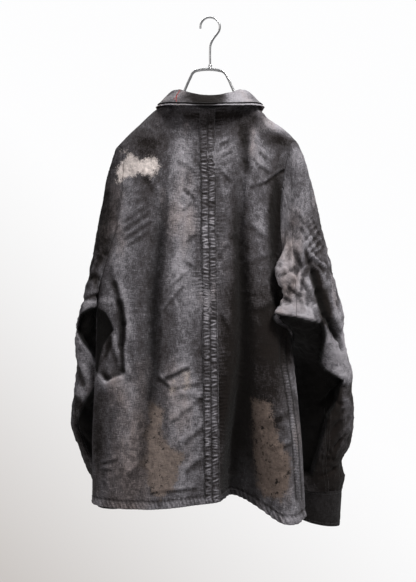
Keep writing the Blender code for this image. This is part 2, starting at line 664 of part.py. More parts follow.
def make_hanger(chrome):
    back = shoulder_wire(-WIRE_APART)
    front = shoulder_wire(WIRE_APART)[::-1]
    right_end = wire_end(back[-1], front[0])
    left_end = wire_end(front[-1], back[0])
    make_tube("hanger_frame", back + right_end + front + left_end, WIRE_RADIUS, True, chrome)
    make_tube("hanger_hook", hook_path(), HOOK_RADIUS, False, chrome)
    mesh = bpy.data.meshes.new("hanger_ferrule")
    bm = bmesh.new()
    bmesh.ops.create_cone(bm, cap_ends=True, segments=24, radius1=FERRULE_RADIUS, radius2=FERRULE_RADIUS * 0.8,
                          depth=FERRULE_LENGTH)
    bm.to_mesh(mesh)
    bm.free()
    ferrule = add_object("hanger_ferrule", mesh, chrome)
    ferrule.location = (0.0, 0.0, FERRULE_Z)


def main():
    clear_scene()
    bpy.context.scene.collection.children.link(bpy.data.collections.new("jacket_on_hanger"))
    cloth = make_material("worn_chambray", (0.075, 0.072, 0.075), 0.92)
    shell = make_material("button_shell", (0.06, 0.05, 0.045), 0.45)
    chrome = make_material("chrome_wire", (0.62, 0.62, 0.63), 0.16, 1.0)
    back = make_back(cloth)
    make_band(back, cloth)
    front = make_fronts(cloth)
    placket, placket_outward = make_placket(front, cloth)
    make_sleeve("sleeve_left", -1, LEFT_RINGS, LEFT_SHAPE, cloth)
    make_sleeve("sleeve_right", 1, RIGHT_RINGS, RIGHT_SHAPE, cloth)
    make_cuff("cuff_left", -1, LEFT_CUFF, cloth)
    make_cuff("cuff_right", 1, RIGHT_CUFF, cloth)
    make_collar(cloth)
    make_buttons(placket, placket_outward, shell)
    make_hanger(chrome)


main()
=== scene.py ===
# Looks of a worn work jacket that hangs on a chrome wire hanger, seen from its back.
# Sizes are in metres. Z is zero where the hook hangs, the wearer faces +Y and the camera looks along +Y.
# The body, sleeves and collar follow the same formulas as the solids they stand for, on finer grids.

import math

import bmesh
import bpy
import numpy as np
from mathutils import Matrix, Vector


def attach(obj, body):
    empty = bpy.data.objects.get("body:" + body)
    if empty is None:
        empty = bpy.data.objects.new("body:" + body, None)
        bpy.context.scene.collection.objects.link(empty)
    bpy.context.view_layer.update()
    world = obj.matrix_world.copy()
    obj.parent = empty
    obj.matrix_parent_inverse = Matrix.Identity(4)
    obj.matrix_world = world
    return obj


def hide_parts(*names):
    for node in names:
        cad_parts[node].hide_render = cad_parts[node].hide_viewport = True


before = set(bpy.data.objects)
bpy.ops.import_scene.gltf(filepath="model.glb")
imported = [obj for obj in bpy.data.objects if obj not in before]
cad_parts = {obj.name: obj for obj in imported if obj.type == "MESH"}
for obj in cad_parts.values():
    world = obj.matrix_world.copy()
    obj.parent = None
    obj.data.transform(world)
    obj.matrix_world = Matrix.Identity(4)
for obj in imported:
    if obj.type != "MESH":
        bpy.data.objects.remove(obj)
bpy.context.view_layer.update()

# Driving sizes of the cloth
CLOTH = 0.0011
TWO_LAYERS = 0.0024
HEM_TURN = 0.013
ARMPIT_Z = -0.543
FINE = 0.0030

# Neck
NECK_HALF = 0.076
NECK_BACK_Y = -0.042
NECK_FRONT_Y = 0.040
NECK_SIDE_Z = -0.158
NECK_BACK_DROP = 0.020
NECK_FRONT_DROP = 0.076
NECK_SHARE = 0.42

# Half width of the body by height, first the wearer's left and then the right
LEFT_HALF = ((-0.940, 0.223), (-0.800, 0.224), (-0.672, 0.218), (-0.543, 0.214), (-0.459, 0.206),
             (-0.392, 0.196), (-0.326, 0.189), (-0.246, 0.178))
RIGHT_HALF = ((-0.940, 0.178), (-0.800, 0.172), (-0.672, 0.160), (-0.543, 0.147), (-0.459, 0.148),
              (-0.392, 0.150), (-0.316, 0.156), (-0.240, 0.165))
# How far the back stands out behind the side seams, and the front before them, by height
BACK_DEPTH = ((-0.940, 0.066), (-0.760, 0.064), (-0.543, 0.058), (-0.400, 0.050), (-0.300, 0.040),
              (-0.230, 0.030), (-0.150, 0.022))
FRONT_DEPTH = ((-0.940, 0.028), (-0.700, 0.028), (-0.543, 0.029), (-0.400, 0.034), (-0.300, 0.036),
               (-0.230, 0.030), (-0.150, 0.022))
SIDE_ROUND = 2.6
LEFT_RIDGE = ((0.076, -0.158), (0.101, -0.175), (0.131, -0.204), (0.150, -0.220), (0.178, -0.246))
RIGHT_RIDGE = ((0.076, -0.158), (0.094, -0.176), (0.110, -0.198), (0.133, -0.219), (0.165, -0.240))
HEM_LINE = ((-0.222, -0.917), (-0.150, -0.920), (-0.095, -0.918), (-0.020, -0.909), (0.016, -0.904),
            (0.042, -0.900), (0.082, -0.911), (0.129, -0.934), (0.178, -0.938))
FRONT_HEM_Z = -0.903
MIDDLE_LINE = ((-0.930, 0.004), (-0.165, -0.006))
LEAN = -0.022
ARMHOLE_CUT = 34.0
RIDGE_ROLL = 0.06
ROLL_SHARE = 0.25

# Two deep folds run down the back: height, place across, depth, width to the left, to the right
LEFT_FOLD = ((-0.930, -0.135, 0.002, 0.016, 0.012), (-0.800, -0.127, 0.011, 0.016, 0.012),
             (-0.680, -0.110, 0.017, 0.015, 0.011), (-0.500, -0.103, 0.018, 0.014, 0.011),
             (-0.430, -0.095, 0.016, 0.014, 0.011), (-0.330, -0.092, 0.006, 0.014, 0.012),
             (-0.260, -0.090, 0.000, 0.014, 0.012))
RIGHT_FOLD = ((-0.930, 0.036, 0.054, 0.014, 0.048), (-0.800, 0.042, 0.042, 0.013, 0.040),
              (-0.687, 0.055, 0.026, 0.013, 0.026), (-0.500, 0.058, 0.018, 0.012, 0.014),
              (-0.400, 0.051, 0.015, 0.011, 0.013), (-0.320, 0.049, 0.009, 0.011, 0.014),
              (-0.230, 0.048, 0.000, 0.011, 0.014))
SLEEVE_GROOVE = ((-0.700, 0.150, 0.000), (-0.600, 0.136, 0.010), (-0.480, 0.122, 0.015),
                 (-0.330, 0.128, 0.013), (-0.260, 0.138, 0.000))
HEM_SWELL = ((-0.930, 0.140, -0.034), (-0.760, 0.128, -0.018), (-0.600, 0.105, -0.006),
             (-0.450, 0.095, 0.000))

# Each sleeve as level rings from the armpit down:
# height, middle across, middle fore and aft, half across, half fore and aft, turn in degrees
LEFT_RINGS = ((-0.578, -0.231, 0.026, 0.020, 0.055, -8.0), (-0.617, -0.229, 0.046, 0.023, 0.062, -14.0),
              (-0.660, -0.224, 0.064, 0.028, 0.070, -16.0), (-0.713, -0.227, 0.072, 0.032, 0.070, -16.0),
              (-0.778, -0.233, 0.080, 0.036, 0.068, -14.0), (-0.826, -0.221, 0.086, 0.036, 0.062, -12.0),
              (-0.858, -0.211, 0.090, 0.036, 0.056, -8.0), (-0.880, -0.204, 0.094, 0.036, 0.047, -4.0),
              (-0.893, -0.198, 0.096, 0.036, 0.040, 0.0))
RIGHT_RINGS = ((-0.568, 0.197, -0.014, 0.046, 0.080, -34.0), (-0.606, 0.205, 0.014, 0.046, 0.070, -26.0),
               (-0.649, 0.214, 0.046, 0.056, 0.060, -10.0), (-0.713, 0.217, 0.068, 0.063, 0.056, 0.0),
               (-0.778, 0.219, 0.082, 0.064, 0.054, 0.0), (-0.826, 0.218, 0.090, 0.060, 0.052, 0.0),
               (-0.858, 0.216, 0.096, 0.047, 0.050, 0.0), (-0.891, 0.222, 0.100, 0.046, 0.046, 0.0),
               (-0.912, 0.225, 0.102, 0.040, 0.040, 0.0))
LEFT_CUFF = ((-0.198, 0.096, -0.8934), (-0.190, 0.098, -0.946), 0.036, 0.040)
RIGHT_CUFF = ((0.225, 0.102, -0.9124), (0.221, 0.106, -0.981), 0.040, 0.040)
CUFF_SLANT = 0.16
BODY_ROOM = 0.005
SEAM_SWELL = 0.008
# How far each sleeve swells outward above the elbow and is drawn in above the armpit
LEFT_SHAPE = (0.006, 0.004)
RIGHT_SHAPE = (0.010, 0.000)
# How far the right sleeve's fold hangs over the body, by height, and where round the sleeve it is
OVERHANG = ((-0.640, 0.000), (-0.600, 0.000), (-0.566, 0.024), (-0.522, 0.006), (-0.492, 0.022),
            (-0.440, 0.012), (-0.390, 0.000))
OVERHANG_TURN = 112.0
OVERHANG_WIDTH = 38.0
# The two seams of a sleeve, as shares of the way round from its outermost line
BACK_SEAM = 5 / 22
FRONT_SEAM = 17 / 22

# Collar: the roll's half width, reach behind, height and drop at the front, then the lower edge's, and how
# far both dip at the middle of the back
ROLL_HALF = 0.055
ROLL_BACK_Y = -0.031
ROLL_Z = -0.136
ROLL_FRONT_DROP = 0.066
EDGE_HALF = 0.1045
EDGE_BACK_Y = -0.062
EDGE_FRONT_Y = -0.058
EDGE_Z = -0.1685
EDGE_FRONT_DROP = 0.1135
EDGE_BACK_RISE = 0.010
COLLAR_DIP = 0.017
COLLAR_TURN = 172.0
# Where the two lines of red mending run down its left: place across at the top and bottom, and rows
RED_MENDING = ((-0.057, -0.067, 6, 28), (-0.062, -0.063, 2, 20))

# Where worn cloth stands higher along the shoulders: place across, reach and height
SHOULDER_LIFTS = ((-0.125, 0.026, 0.0040), (0.136, 0.030, 0.0130))

# Centre back seam
BAND_HALF = 0.014
BAND_RAISE = 0.0013
PUCKER_PITCH = 0.0068
PUCKER_RISE = 0.0017
MOST_PUCKERS = 400
BAND_START_Z = -0.200

# Front closure
PLACKET_HALF = 0.018
PLACKET_RAISE = 0.0032
BUTTON_HEIGHTS = (-0.285, -0.410, -0.535, -0.660, -0.785)
# Half section of a button and of the hanger's ferrule, as radius and height
BUTTON_PROFILE = ((0.0, 0.0010), (0.0030, 0.0010), (0.0052, 0.0012), (0.0062, 0.0022), (0.0072, 0.0026),
                  (0.0082, 0.0020), (0.0085, 0.0012), (0.0080, 0.0), (0.0, 0.0))
FERRULE_PROFILE = ((0.0, 0.0046), (0.0030, 0.0046), (0.0036, 0.0040), (0.0036, 0.0018), (0.0028, 0.0012),
                   (0.0028, -0.0004), (0.0042, -0.0010), (0.0042, -0.0034), (0.0036, -0.0042),
                   (0.0, -0.0042))
BUTTON_HOLE_OUT = 0.0019

# Rows and columns of the fine grids: a panel above and below the armpit, its width, a sleeve above the
# armpit and round, and a cuff. The hidden fronts have every third row and every other column
PANEL_UPPER_ROWS = 190
PANEL_LOWER_ROWS = 200
PANEL_COLUMNS = 108
UPPER_ROWS = 96
ROUND_STEPS = 176
CUFF_ROWS = 26
CUFF_STEPS = 120
COLLAR_ROWS = 30
COLLAR_COLUMNS = 190
# Grid rows that carry the two rows of hem stitches, counted from the hem
BACK_HEM_ROWS = (6, 1)
FRONT_HEM_ROWS = (3, 0)
# The sleeve seams are topstitched from this height down
SLIT_STITCHES_TOP = -0.745

# Where the cloth has faded or stayed dark, and painted shade and painted highlight: place across, height,
# reach across, reach down, amount
BACK_FADES_AND_SHADING = (
    (-0.052, -0.400, 0.026, 0.190, 0.36), (-0.050, -0.260, 0.024, 0.040, 0.30),
    (-0.048, -0.620, 0.024, 0.100, 0.16), (-0.160, -0.450, 0.016, 0.160, 0.22),
    (-0.125, -0.250, 0.048, 0.024, -0.30), (0.000, -0.196, 0.085, 0.010, -0.50),
    (-0.198, -0.535, 0.016, 0.007, 0.30), (-0.205, -0.400, 0.014, 0.200, -0.30),
    (0.030, -0.250, 0.016, 0.050, 0.10), (0.092, -0.245, 0.026, 0.036, 0.34),
    (0.118, -0.216, 0.034, 0.013, 0.60), (0.112, -0.242, 0.040, 0.010, -0.26),
    (0.048, -0.450, 0.013, 0.190, -0.20), (0.092, -0.400, 0.020, 0.070, 0.30),
    (0.072, -0.640, 0.052, 0.160, -0.75), (0.030, -0.780, 0.026, 0.140, -0.40),
    (0.126, -0.600, 0.032, 0.075, -0.85), (0.153, -0.780, 0.012, 0.110, 0.24),
    (0.120, -0.390, 0.012, 0.080, -0.95), (-0.205, -0.790, 0.018, 0.100, -0.45),
    (-0.160, -0.820, 0.020, 0.060, 0.10), (-0.030, -0.780, 0.034, 0.080, 0.14),
    (-0.185, -0.686, 0.024, 0.012, 0.40), (-0.160, -0.640, 0.012, 0.100, 0.10))
RIGHT_SLEEVE_FADES_AND_SHADING = (
    (0.160, -0.320, 0.034, 0.080, 0.12), (0.148, -0.490, 0.030, 0.050, 0.34),
    (0.160, -0.553, 0.036, 0.016, 0.90), (0.236, -0.620, 0.030, 0.055, 0.60),
    (0.205, -0.420, 0.030, 0.030, -0.10), (0.196, -0.500, 0.007, 0.030, -0.60),
    (0.212, -0.555, 0.010, 0.040, -0.80), (0.236, -0.730, 0.034, 0.050, -0.60),
    (0.220, -0.870, 0.060, 0.090, -0.95), (0.246, -0.700, 0.012, 0.060, 0.40),
    (0.222, -0.790, 0.014, 0.050, -0.50), (0.140, -0.400, 0.008, 0.080, 0.40),
    (0.240, -0.800, 0.012, 0.020, 0.30))
LEFT_SLEEVE_FADES_AND_SHADING = (
    (-0.214, -0.500, 0.024, 0.036, -0.45), (-0.205, -0.360, 0.024, 0.130, -0.60),
    (-0.215, -0.538, 0.034, 0.007, 0.25), (-0.232, -0.700, 0.020, 0.050, 0.15),
    (-0.230, -0.840, 0.060, 0.080, -0.60), (-0.205, -0.500, 0.020, 0.030, 0.30))

# Hanger
WIRE_RADIUS = 0.00175
HOOK_RADIUS = 0.0020
HOOK_LOOP = 0.0185
FERRULE_Z = -0.0930
WIRE_APART = 0.007
NECK_WIRE_APART = 0.0045
WIRE_END_REACH = 0.0070
SEAT_GAP = 0.0013
SOLID_CLOTH = 0.0016

# Dyes, as linear colours
DARK_DYE = (0.010, 0.0086, 0.0084)
MIDDLE_DYE = (0.078, 0.074, 0.081)
FADED_DYE = (0.330, 0.312, 0.332)
# Near black painted where shade falls (folds, creases, hollows, collar edge, stand and cuffs), as painted
# shade
PAINTED_SHADE_COLOUR = (0.0050, 0.0042, 0.0038)
BROWN_TINT = (1.0, 0.84, 0.72)
BARE_COTTON = (0.78, 0.69, 0.65)
# Dark brown for the weak pale places: partly soiling, partly painted shade
SOILED_AND_SHADED_COTTON = (0.112, 0.078, 0.061)
THREAD_GREY = (0.10, 0.095, 0.10)
THREAD_RED = (0.50, 0.050, 0.045)
DARK_SHELL = (0.030, 0.024, 0.020)
PALE_SHELL = (0.150, 0.120, 0.098)
PAPER = (0.985, 0.985, 0.99)
SHADED_PAPER = (0.60, 0.57, 0.55)

# The photograph's frame: pixels, the size of one at the hanger, and where it was taken from
FRAME_PIXELS = (416, 582)
PIXEL = 0.0019
CAMERA_X = -0.004
CAMERA_Z = -0.518
CAMERA_BACK = 1.75
FLOOR_Z = -1.95
FLOOR_RADIUS = 2.7

# Stitches
STITCH_PITCH = 0.0032
STITCH_LONG = 0.0023
STITCH_THICK = 0.00055
RED_PITCH = 0.0026
RED_LONG = 0.0027
RED_THICK = 0.0013

# Creases pressed into the back: start across, start height, end across, end height, width, depth
BACK_CREASES = (
    (0.073, -0.329, 0.104, -0.321, 0.0030, 0.0016), (0.100, -0.322, 0.136, -0.303, 0.0026, 0.0022),
    (0.073, -0.205, 0.148, -0.262, 0.0140, 0.0024), (0.062, -0.215, 0.066, -0.300, 0.0100, 0.0030),
    (-0.160, -0.408, -0.112, -0.376, 0.0045, 0.0012), (-0.157, -0.424, -0.108, -0.392, 0.0040, 0.0013),
    (-0.153, -0.437, -0.112, -0.410, 0.0040, 0.0012), (-0.158, -0.392, -0.114, -0.362, 0.0045, 0.0010),
    (-0.098, -0.678, -0.076, -0.694, 0.0036, 0.0024), (-0.086, -0.682, -0.040, -0.660, 0.0042, 0.0026),
    (-0.078, -0.700, -0.020, -0.690, 0.0050, 0.0016), (-0.060, -0.710, -0.014, -0.716, 0.0060, 0.0012),
    (-0.084, -0.520, -0.044, -0.486, 0.0030, 0.0010), (-0.088, -0.556, -0.050, -0.510, 0.0030, 0.0010),
    (-0.070, -0.760, -0.014, -0.716, 0.0050, 0.0012), (-0.050, -0.800, -0.010, -0.770, 0.0050, 0.0014),
    (-0.046, -0.852, -0.008, -0.824, 0.0050, 0.0014), (-0.110, -0.890, -0.024, -0.882, 0.0030, 0.0016),
    (-0.198, -0.836, -0.170, -0.828, 0.0030, 0.0014), (-0.200, -0.846, -0.180, -0.848, 0.0030, 0.0012),
    (-0.150, -0.860, -0.128, -0.838, 0.0050, 0.0014), (0.072, -0.400, 0.110, -0.430, 0.0060, 0.0010),
    (0.072, -0.470, 0.118, -0.452, 0.0050, 0.0010), (0.080, -0.560, 0.124, -0.540, 0.0060, 0.0012),
    (0.018, -0.560, 0.034, -0.590, 0.0060, 0.0014), (0.020, -0.446, 0.038, -0.430, 0.0040, 0.0010),
    (0.100, -0.770, 0.148, -0.742, 0.0060, 0.0016), (0.110, -0.812, 0.150, -0.800, 0.0040, 0.0016),
    (0.150, -0.700, 0.170, -0.760, 0.0060, 0.0016), (-0.176, -0.560, -0.150, -0.620, 0.0080, 0.0016),
    (-0.190, -0.600, -0.168, -0.664, 0.0060, 0.0020), (-0.184, -0.474, -0.175, -0.512, 0.0060, 0.0012),
    (-0.177, -0.500, -0.167, -0.540, 0.0055, 0.0034), (-0.167, -0.536, -0.160, -0.580, 0.0055, 0.0080),
    (-0.160, -0.576, -0.164, -0.620, 0.0050, 0.0070), (-0.164, -0.616, -0.160, -0.668, 0.0044, 0.0050),
    (-0.205, -0.672, -0.192, -0.688, 0.0040, -0.0040), (-0.193, -0.688, -0.162, -0.676, 0.0040, -0.0034),
    (-0.182, -0.600, -0.192, -0.640, 0.0040, 0.0024), (-0.128, -0.300, -0.100, -0.340, 0.0060, 0.0012),
    (-0.060, -0.280, -0.030, -0.300, 0.0040, 0.0012), (-0.050, -0.330, -0.026, -0.352, 0.0040, 0.0014),
    (-0.052, -0.372, -0.030, -0.356, 0.0036, 0.0012), (-0.046, -0.430, -0.024, -0.412, 0.0036, 0.0012),
    (-0.050, -0.462, -0.026, -0.478, 0.0036, 0.0012), (0.018, -0.250, 0.034, -0.244, 0.0030, 0.0018),
    (0.020, -0.272, 0.040, -0.262, 0.0030, 0.0014), (0.020, -0.300, 0.036, -0.318, 0.0032, 0.0014),
    (0.088, -0.262, 0.104, -0.280, 0.0030, 0.0014), (0.092, -0.290, 0.108, -0.306, 0.0030, 0.0016),
    (0.080, -0.276, 0.092, -0.296, 0.0030, 0.0014))
# Hollow under the left sleeve's fold, where it lies over the edge of the back, also darkened with painted
# shade
BACK_HOLLOWS = (
    (((-0.216, -0.560), (-0.206, -0.548), (-0.192, -0.556), (-0.181, -0.576), (-0.177, -0.590),
      (-0.184, -0.600), (-0.196, -0.618), (-0.202, -0.640), (-0.206, -0.668), (-0.216, -0.664)),
     0.006, 0.003),)

# Double-stitched seams that gather the cloth: points along each, and how strongly it is gathered
BACK_LADDERS = (
    (((0.1336, -0.600), (0.1336, -0.648), (0.1465, -0.718), (0.1557, -0.791), (0.1630, -0.901)), 1.0),)
RIGHT_SLEEVE_LADDERS = (
    (((0.2120, -0.735), (0.2160, -0.760), (0.2200, -0.800), (0.2230, -0.846)), 0.9),
    (((0.1800, -0.384), (0.2060, -0.440)), 0.8),
    (((0.1880, -0.378), (0.2120, -0.430)), 0.8),
    (((0.1740, -0.396), (0.2000, -0.452)), 0.6))
LADDER_HALF = 0.0045
LADDER_PITCH = 0.0056

# Depth of the middle of the back, on which places seen by the camera are measured
BACK_PLANE = -0.060

# Creases of the sleeves, in the same form. A depth below zero is a ridge
RIGHT_SLEEVE_CREASES = (
    (0.166, -0.400, 0.190, -0.446, 0.0030, 0.0018), (0.178, -0.384, 0.204, -0.432, 0.0030, 0.0020),
    (0.188, -0.380, 0.208, -0.418, 0.0028, 0.0018), (0.172, -0.446, 0.206, -0.406, 0.0030, 0.0020),
    (0.180, -0.450, 0.214, -0.474, 0.0036, -0.0034), (0.182, -0.458, 0.216, -0.482, 0.0040, 0.0040),
    (0.174, -0.446, 0.191, -0.485, 0.0050, 0.0060), (0.190, -0.482, 0.202, -0.522, 0.0080, 0.0110),
    (0.200, -0.518, 0.216, -0.566, 0.0090, 0.0130), (0.214, -0.562, 0.244, -0.606, 0.0080, 0.0120),
    (0.242, -0.602, 0.254, -0.632, 0.0050, 0.0080), (0.126, -0.492, 0.156, -0.476, 0.0040, 0.0034),
    (0.134, -0.474, 0.158, -0.498, 0.0034, -0.0030), (0.150, -0.440, 0.166, -0.476, 0.0040, 0.0026),
    (0.164, -0.484, 0.158, -0.520, 0.0036, -0.0034), (0.130, -0.528, 0.150, -0.540, 0.0034, 0.0026),
    (0.142, -0.512, 0.168, -0.528, 0.0036, 0.0034), (0.166, -0.500, 0.190, -0.540, 0.0040, 0.0030),
    (0.230, -0.690, 0.250, -0.740, 0.0080, 0.0050), (0.214, -0.740, 0.262, -0.700, 0.0080, 0.0070),
    (0.228, -0.800, 0.252, -0.770, 0.0060, 0.0040), (0.240, -0.826, 0.256, -0.806, 0.0040, 0.0050),
    (0.214, -0.880, 0.250, -0.866, 0.0050, 0.0040), (0.158, -0.372, 0.196, -0.424, 0.0028, 0.0014),
    (0.176, -0.456, 0.212, -0.420, 0.0028, 0.0018), (0.168, -0.430, 0.200, -0.396, 0.0026, 0.0016),
    (0.180, -0.466, 0.216, -0.432, 0.0026, 0.0016), (0.226, -0.842, 0.244, -0.850, 0.0030, 0.0026),
    (0.224, -0.858, 0.246, -0.864, 0.0030, 0.0030), (0.228, -0.826, 0.240, -0.846, 0.0030, 0.0024))
LEFT_SLEEVE_CREASES = (
    (-0.250, -0.540, -0.200, -0.520, 0.0040, 0.0030), (-0.240, -0.480, -0.200, -0.500, 0.0050, 0.0024),
    (-0.246, -0.610, -0.206, -0.676, 0.0040, -0.0040), (-0.262, -0.640, -0.240, -0.700, 0.0060, 0.0040),
    (-0.262, -0.720, -0.214, -0.770, 0.0080, 0.0060), (-0.256, -0.790, -0.226, -0.820, 0.0060, 0.0040))
# Hollows under the overhanging folds of each sleeve, also darkened with painted shade: outline, how far in,
# and how soft its edge is
RIGHT_HOLLOWS = (
    (((0.100, -0.556), (0.134, -0.562), (0.162, -0.566), (0.186, -0.572), (0.206, -0.577), (0.2115, -0.592),
      (0.2125, -0.615), (0.211, -0.655), (0.222, -0.668), (0.238, -0.678), (0.256, -0.690), (0.246, -0.730),
      (0.228, -0.760), (0.214, -0.820), (0.200, -0.880), (0.100, -0.900)), 0.030, 0.005),)
LEFT_HOLLOWS = (
    (((-0.252, -0.590), (-0.244, -0.562), (-0.226, -0.550), (-0.206, -0.546), (-0.190, -0.552),
      (-0.184, -0.580), (-0.190, -0.620), (-0.205, -0.672), (-0.222, -0.648), (-0.240, -0.616)),
     0.026, 0.005),
    (((-0.262, -0.778), (-0.238, -0.720), (-0.208, -0.668), (-0.190, -0.680), (-0.190, -0.900),
      (-0.220, -0.860)), 0.012, 0.010))

# Pale places where the dye is bleached and rubbed out, as outlines across and down
BLEACHED = (((-0.171, -0.317), (-0.171, -0.292), (-0.162, -0.279), (-0.153, -0.268), (-0.147, -0.266),
             (-0.140, -0.270), (-0.130, -0.275), (-0.113, -0.272), (-0.101, -0.273), (-0.096, -0.277),
             (-0.094, -0.292), (-0.099, -0.300), (-0.108, -0.307), (-0.120, -0.308), (-0.125, -0.307),
             (-0.130, -0.301), (-0.135, -0.308), (-0.151, -0.312), (-0.164, -0.315)),
            ((-0.164, -0.262), (-0.158, -0.259), (-0.153, -0.261), (-0.154, -0.265), (-0.162, -0.265)),
            ((-0.049, -0.666), (-0.037, -0.666), (-0.035, -0.687), (-0.040, -0.702), (-0.047, -0.698),
             (-0.051, -0.680)),
            ((-0.077, -0.694), (-0.065, -0.684), (-0.063, -0.698), (-0.070, -0.708)),
            ((-0.114, -0.722), (-0.107, -0.715), (-0.084, -0.740), (-0.090, -0.772), (-0.079, -0.796),
             (-0.065, -0.810), (-0.046, -0.814), (-0.047, -0.828), (-0.054, -0.842), (-0.058, -0.863),
             (-0.068, -0.884), (-0.090, -0.900), (-0.107, -0.891), (-0.121, -0.873), (-0.118, -0.849),
             (-0.133, -0.838), (-0.121, -0.821), (-0.118, -0.796), (-0.125, -0.782), (-0.114, -0.758)),
            ((0.075, -0.712), (0.114, -0.722), (0.116, -0.758), (0.128, -0.793), (0.144, -0.814),
             (0.151, -0.849), (0.142, -0.884), (0.128, -0.902), (0.100, -0.898), (0.086, -0.877),
             (0.079, -0.842), (0.075, -0.796), (0.074, -0.750)))
# How strongly each of them is bleached; the weak ones are drawn towards dark soiled cotton, which for the
# last, lower right one is painted shade
BLEACH_AND_SHADE_POWER = (1.0, 0.8, 0.50, 0.42, 0.13, 0.06)


def read(stations, at, column=1):
    """Smooth value between stations whose first column rises."""
    table = np.array(stations)
    places = table[:, 0]
    values = table[:, column]
    slopes = np.gradient(values, places)
    at = np.clip(at, places[0], places[-1])
    high = np.clip(np.searchsorted(places, at, side="right"), 1, len(places) - 1)
    low = high - 1
    span = places[high] - places[low]
    t = (at - places[low]) / span
    start = values[low] * (1 + 2 * t) * (1 - t) ** 2 + slopes[low] * span * t * (1 - t) ** 2
    finish = values[high] * t * t * (3 - 2 * t) + slopes[high] * span * t * t * (t - 1)
    return start + finish


def ease(t):
    """Smooth step from 0 to 1."""
    t = np.clip(t, 0.0, 1.0)
    return t * t * (3 - 2 * t)


def unit(vectors):
    """The same directions with a length of one."""
    return vectors / np.maximum(np.linalg.norm(vectors, axis=-1, keepdims=True), 1e-12)


def between(at, places, points):
    """Points at given places along a path whose own places rise."""
    return np.stack([np.interp(at, places, points[:, axis]) for axis in range(3)], axis=-1)


def travelled(path):
    """Length travelled up to each point of a path."""
    return np.concatenate([[0], np.cumsum(np.linalg.norm(np.diff(path, axis=0), axis=-1))])


def middle_at(z):
    """Place across of the body's middle line at a height."""
    return read(MIDDLE_LINE, z)


def trough(across, centre, depth, left, right):
    """A soft furrow with a width of its own on each side."""
    width = np.where(across < centre, left, right)
    return depth * np.exp(-((across - centre) / width) ** 2)


def lattice_noise(points, size, seed):
    """Smooth noise from -1 to 1 whose bumps are about that size across."""
    table = np.random.default_rng(seed).uniform(-1, 1, (32, 32, 32))
    scaled = points / size + 200.0
    corner = np.floor(scaled).astype(int)
    t = scaled - corner
    t = t * t * (3 - 2 * t)
    total = 0.0
    for dx in (0, 1):
        for dy in (0, 1):
            for dz in (0, 1):
                weight = (np.where(dx, t[..., 0], 1 - t[..., 0]) * np.where(dy, t[..., 1], 1 - t[..., 1])
                          * np.where(dz, t[..., 2], 1 - t[..., 2]))
                total = total + weight * table[(corner[..., 0] + dx) % 32, (corner[..., 1] + dy) % 32,
                                               (corner[..., 2] + dz) % 32]
    return total


def crumple(points, size, seed):
    """Sharp little ridges between soft hollows, as in cloth that was crushed."""
    shift = np.stack([lattice_noise(points, size * 1.7, seed + n) for n in (1, 2, 3)], axis=-1)
    bent = points + 0.35 * size * shift
    ridged = 1 - np.abs(lattice_noise(bent, size, seed)) * 2.2
    finer = 1 - np.abs(lattice_noise(bent, size * 0.5, seed + 7)) * 2.2
    return np.clip(ridged, -1, 1) + 0.45 * np.clip(finer, -1, 1)


def back_folds(x, z):
    """How far the back sinks inward at a place."""
    sink = trough(x, *(read(LEFT_FOLD, z, column) for column in range(1, 5)))
    sink += trough(x, *(read(RIGHT_FOLD, z, column) for column in range(1, 5)))
    sink += trough(x, read(SLEEVE_GROOVE, z, 1), read(SLEEVE_GROOVE, z, 2), 0.013, 0.016)
    sink += trough(x, read(HEM_SWELL, z, 1), read(HEM_SWELL, z, 2), 0.036, 0.040)
    return sink


def section(side, z, front):
    """Level section of the body: side runs from -1 at the left seam to 1 at the right seam."""
    share = np.abs(side)
    middle = middle_at(z)
    half = np.where(side < 0, read(LEFT_HALF, z) + middle, read(RIGHT_HALF, z) - middle)
    x = middle + side * half
    roundness = np.clip(1 - share ** SIDE_ROUND, 0, 1) ** (1 / SIDE_ROUND)
    lean = LEAN * ease((side + 0.2) / 1.2) * ease((-z - 0.45) / 0.4)
    if front:
        return x, lean * roundness + read(FRONT_DEPTH, z) * roundness + lean * (1 - roundness)
    sink = back_folds(x, z) * ease((1 - share) / 0.12)
    return x, lean - read(BACK_DEPTH, z) * roundness + sink


def top_edge(side, front):
    """Neck seam and shoulder ridge."""
    share = np.abs(side)
    sign = np.where(side < 0, -1.0, 1.0)
    round_neck = np.clip(share / NECK_SHARE, 0, 1) * math.pi / 2
    out = np.clip((share - NECK_SHARE) / (1 - NECK_SHARE), 0, 1)
    tip = np.where(side < 0, LEFT_RIDGE[-1][0], RIGHT_RIDGE[-1][0])
    on_ridge = NECK_HALF + (tip - NECK_HALF) * out
    x = sign * np.where(share < NECK_SHARE, NECK_HALF * np.sin(round_neck), on_ridge)
    y = (NECK_FRONT_Y if front else NECK_BACK_Y) * np.cos(round_neck)
    drop = NECK_FRONT_DROP if front else NECK_BACK_DROP
    ridge = np.where(side < 0, read(LEFT_RIDGE, np.abs(x)), read(RIGHT_RIDGE, np.abs(x)))
    z = np.where(share < NECK_SHARE, NECK_SIDE_Z - drop * np.cos(round_neck) ** (3 if front else 2), ridge)
    return x, y, z


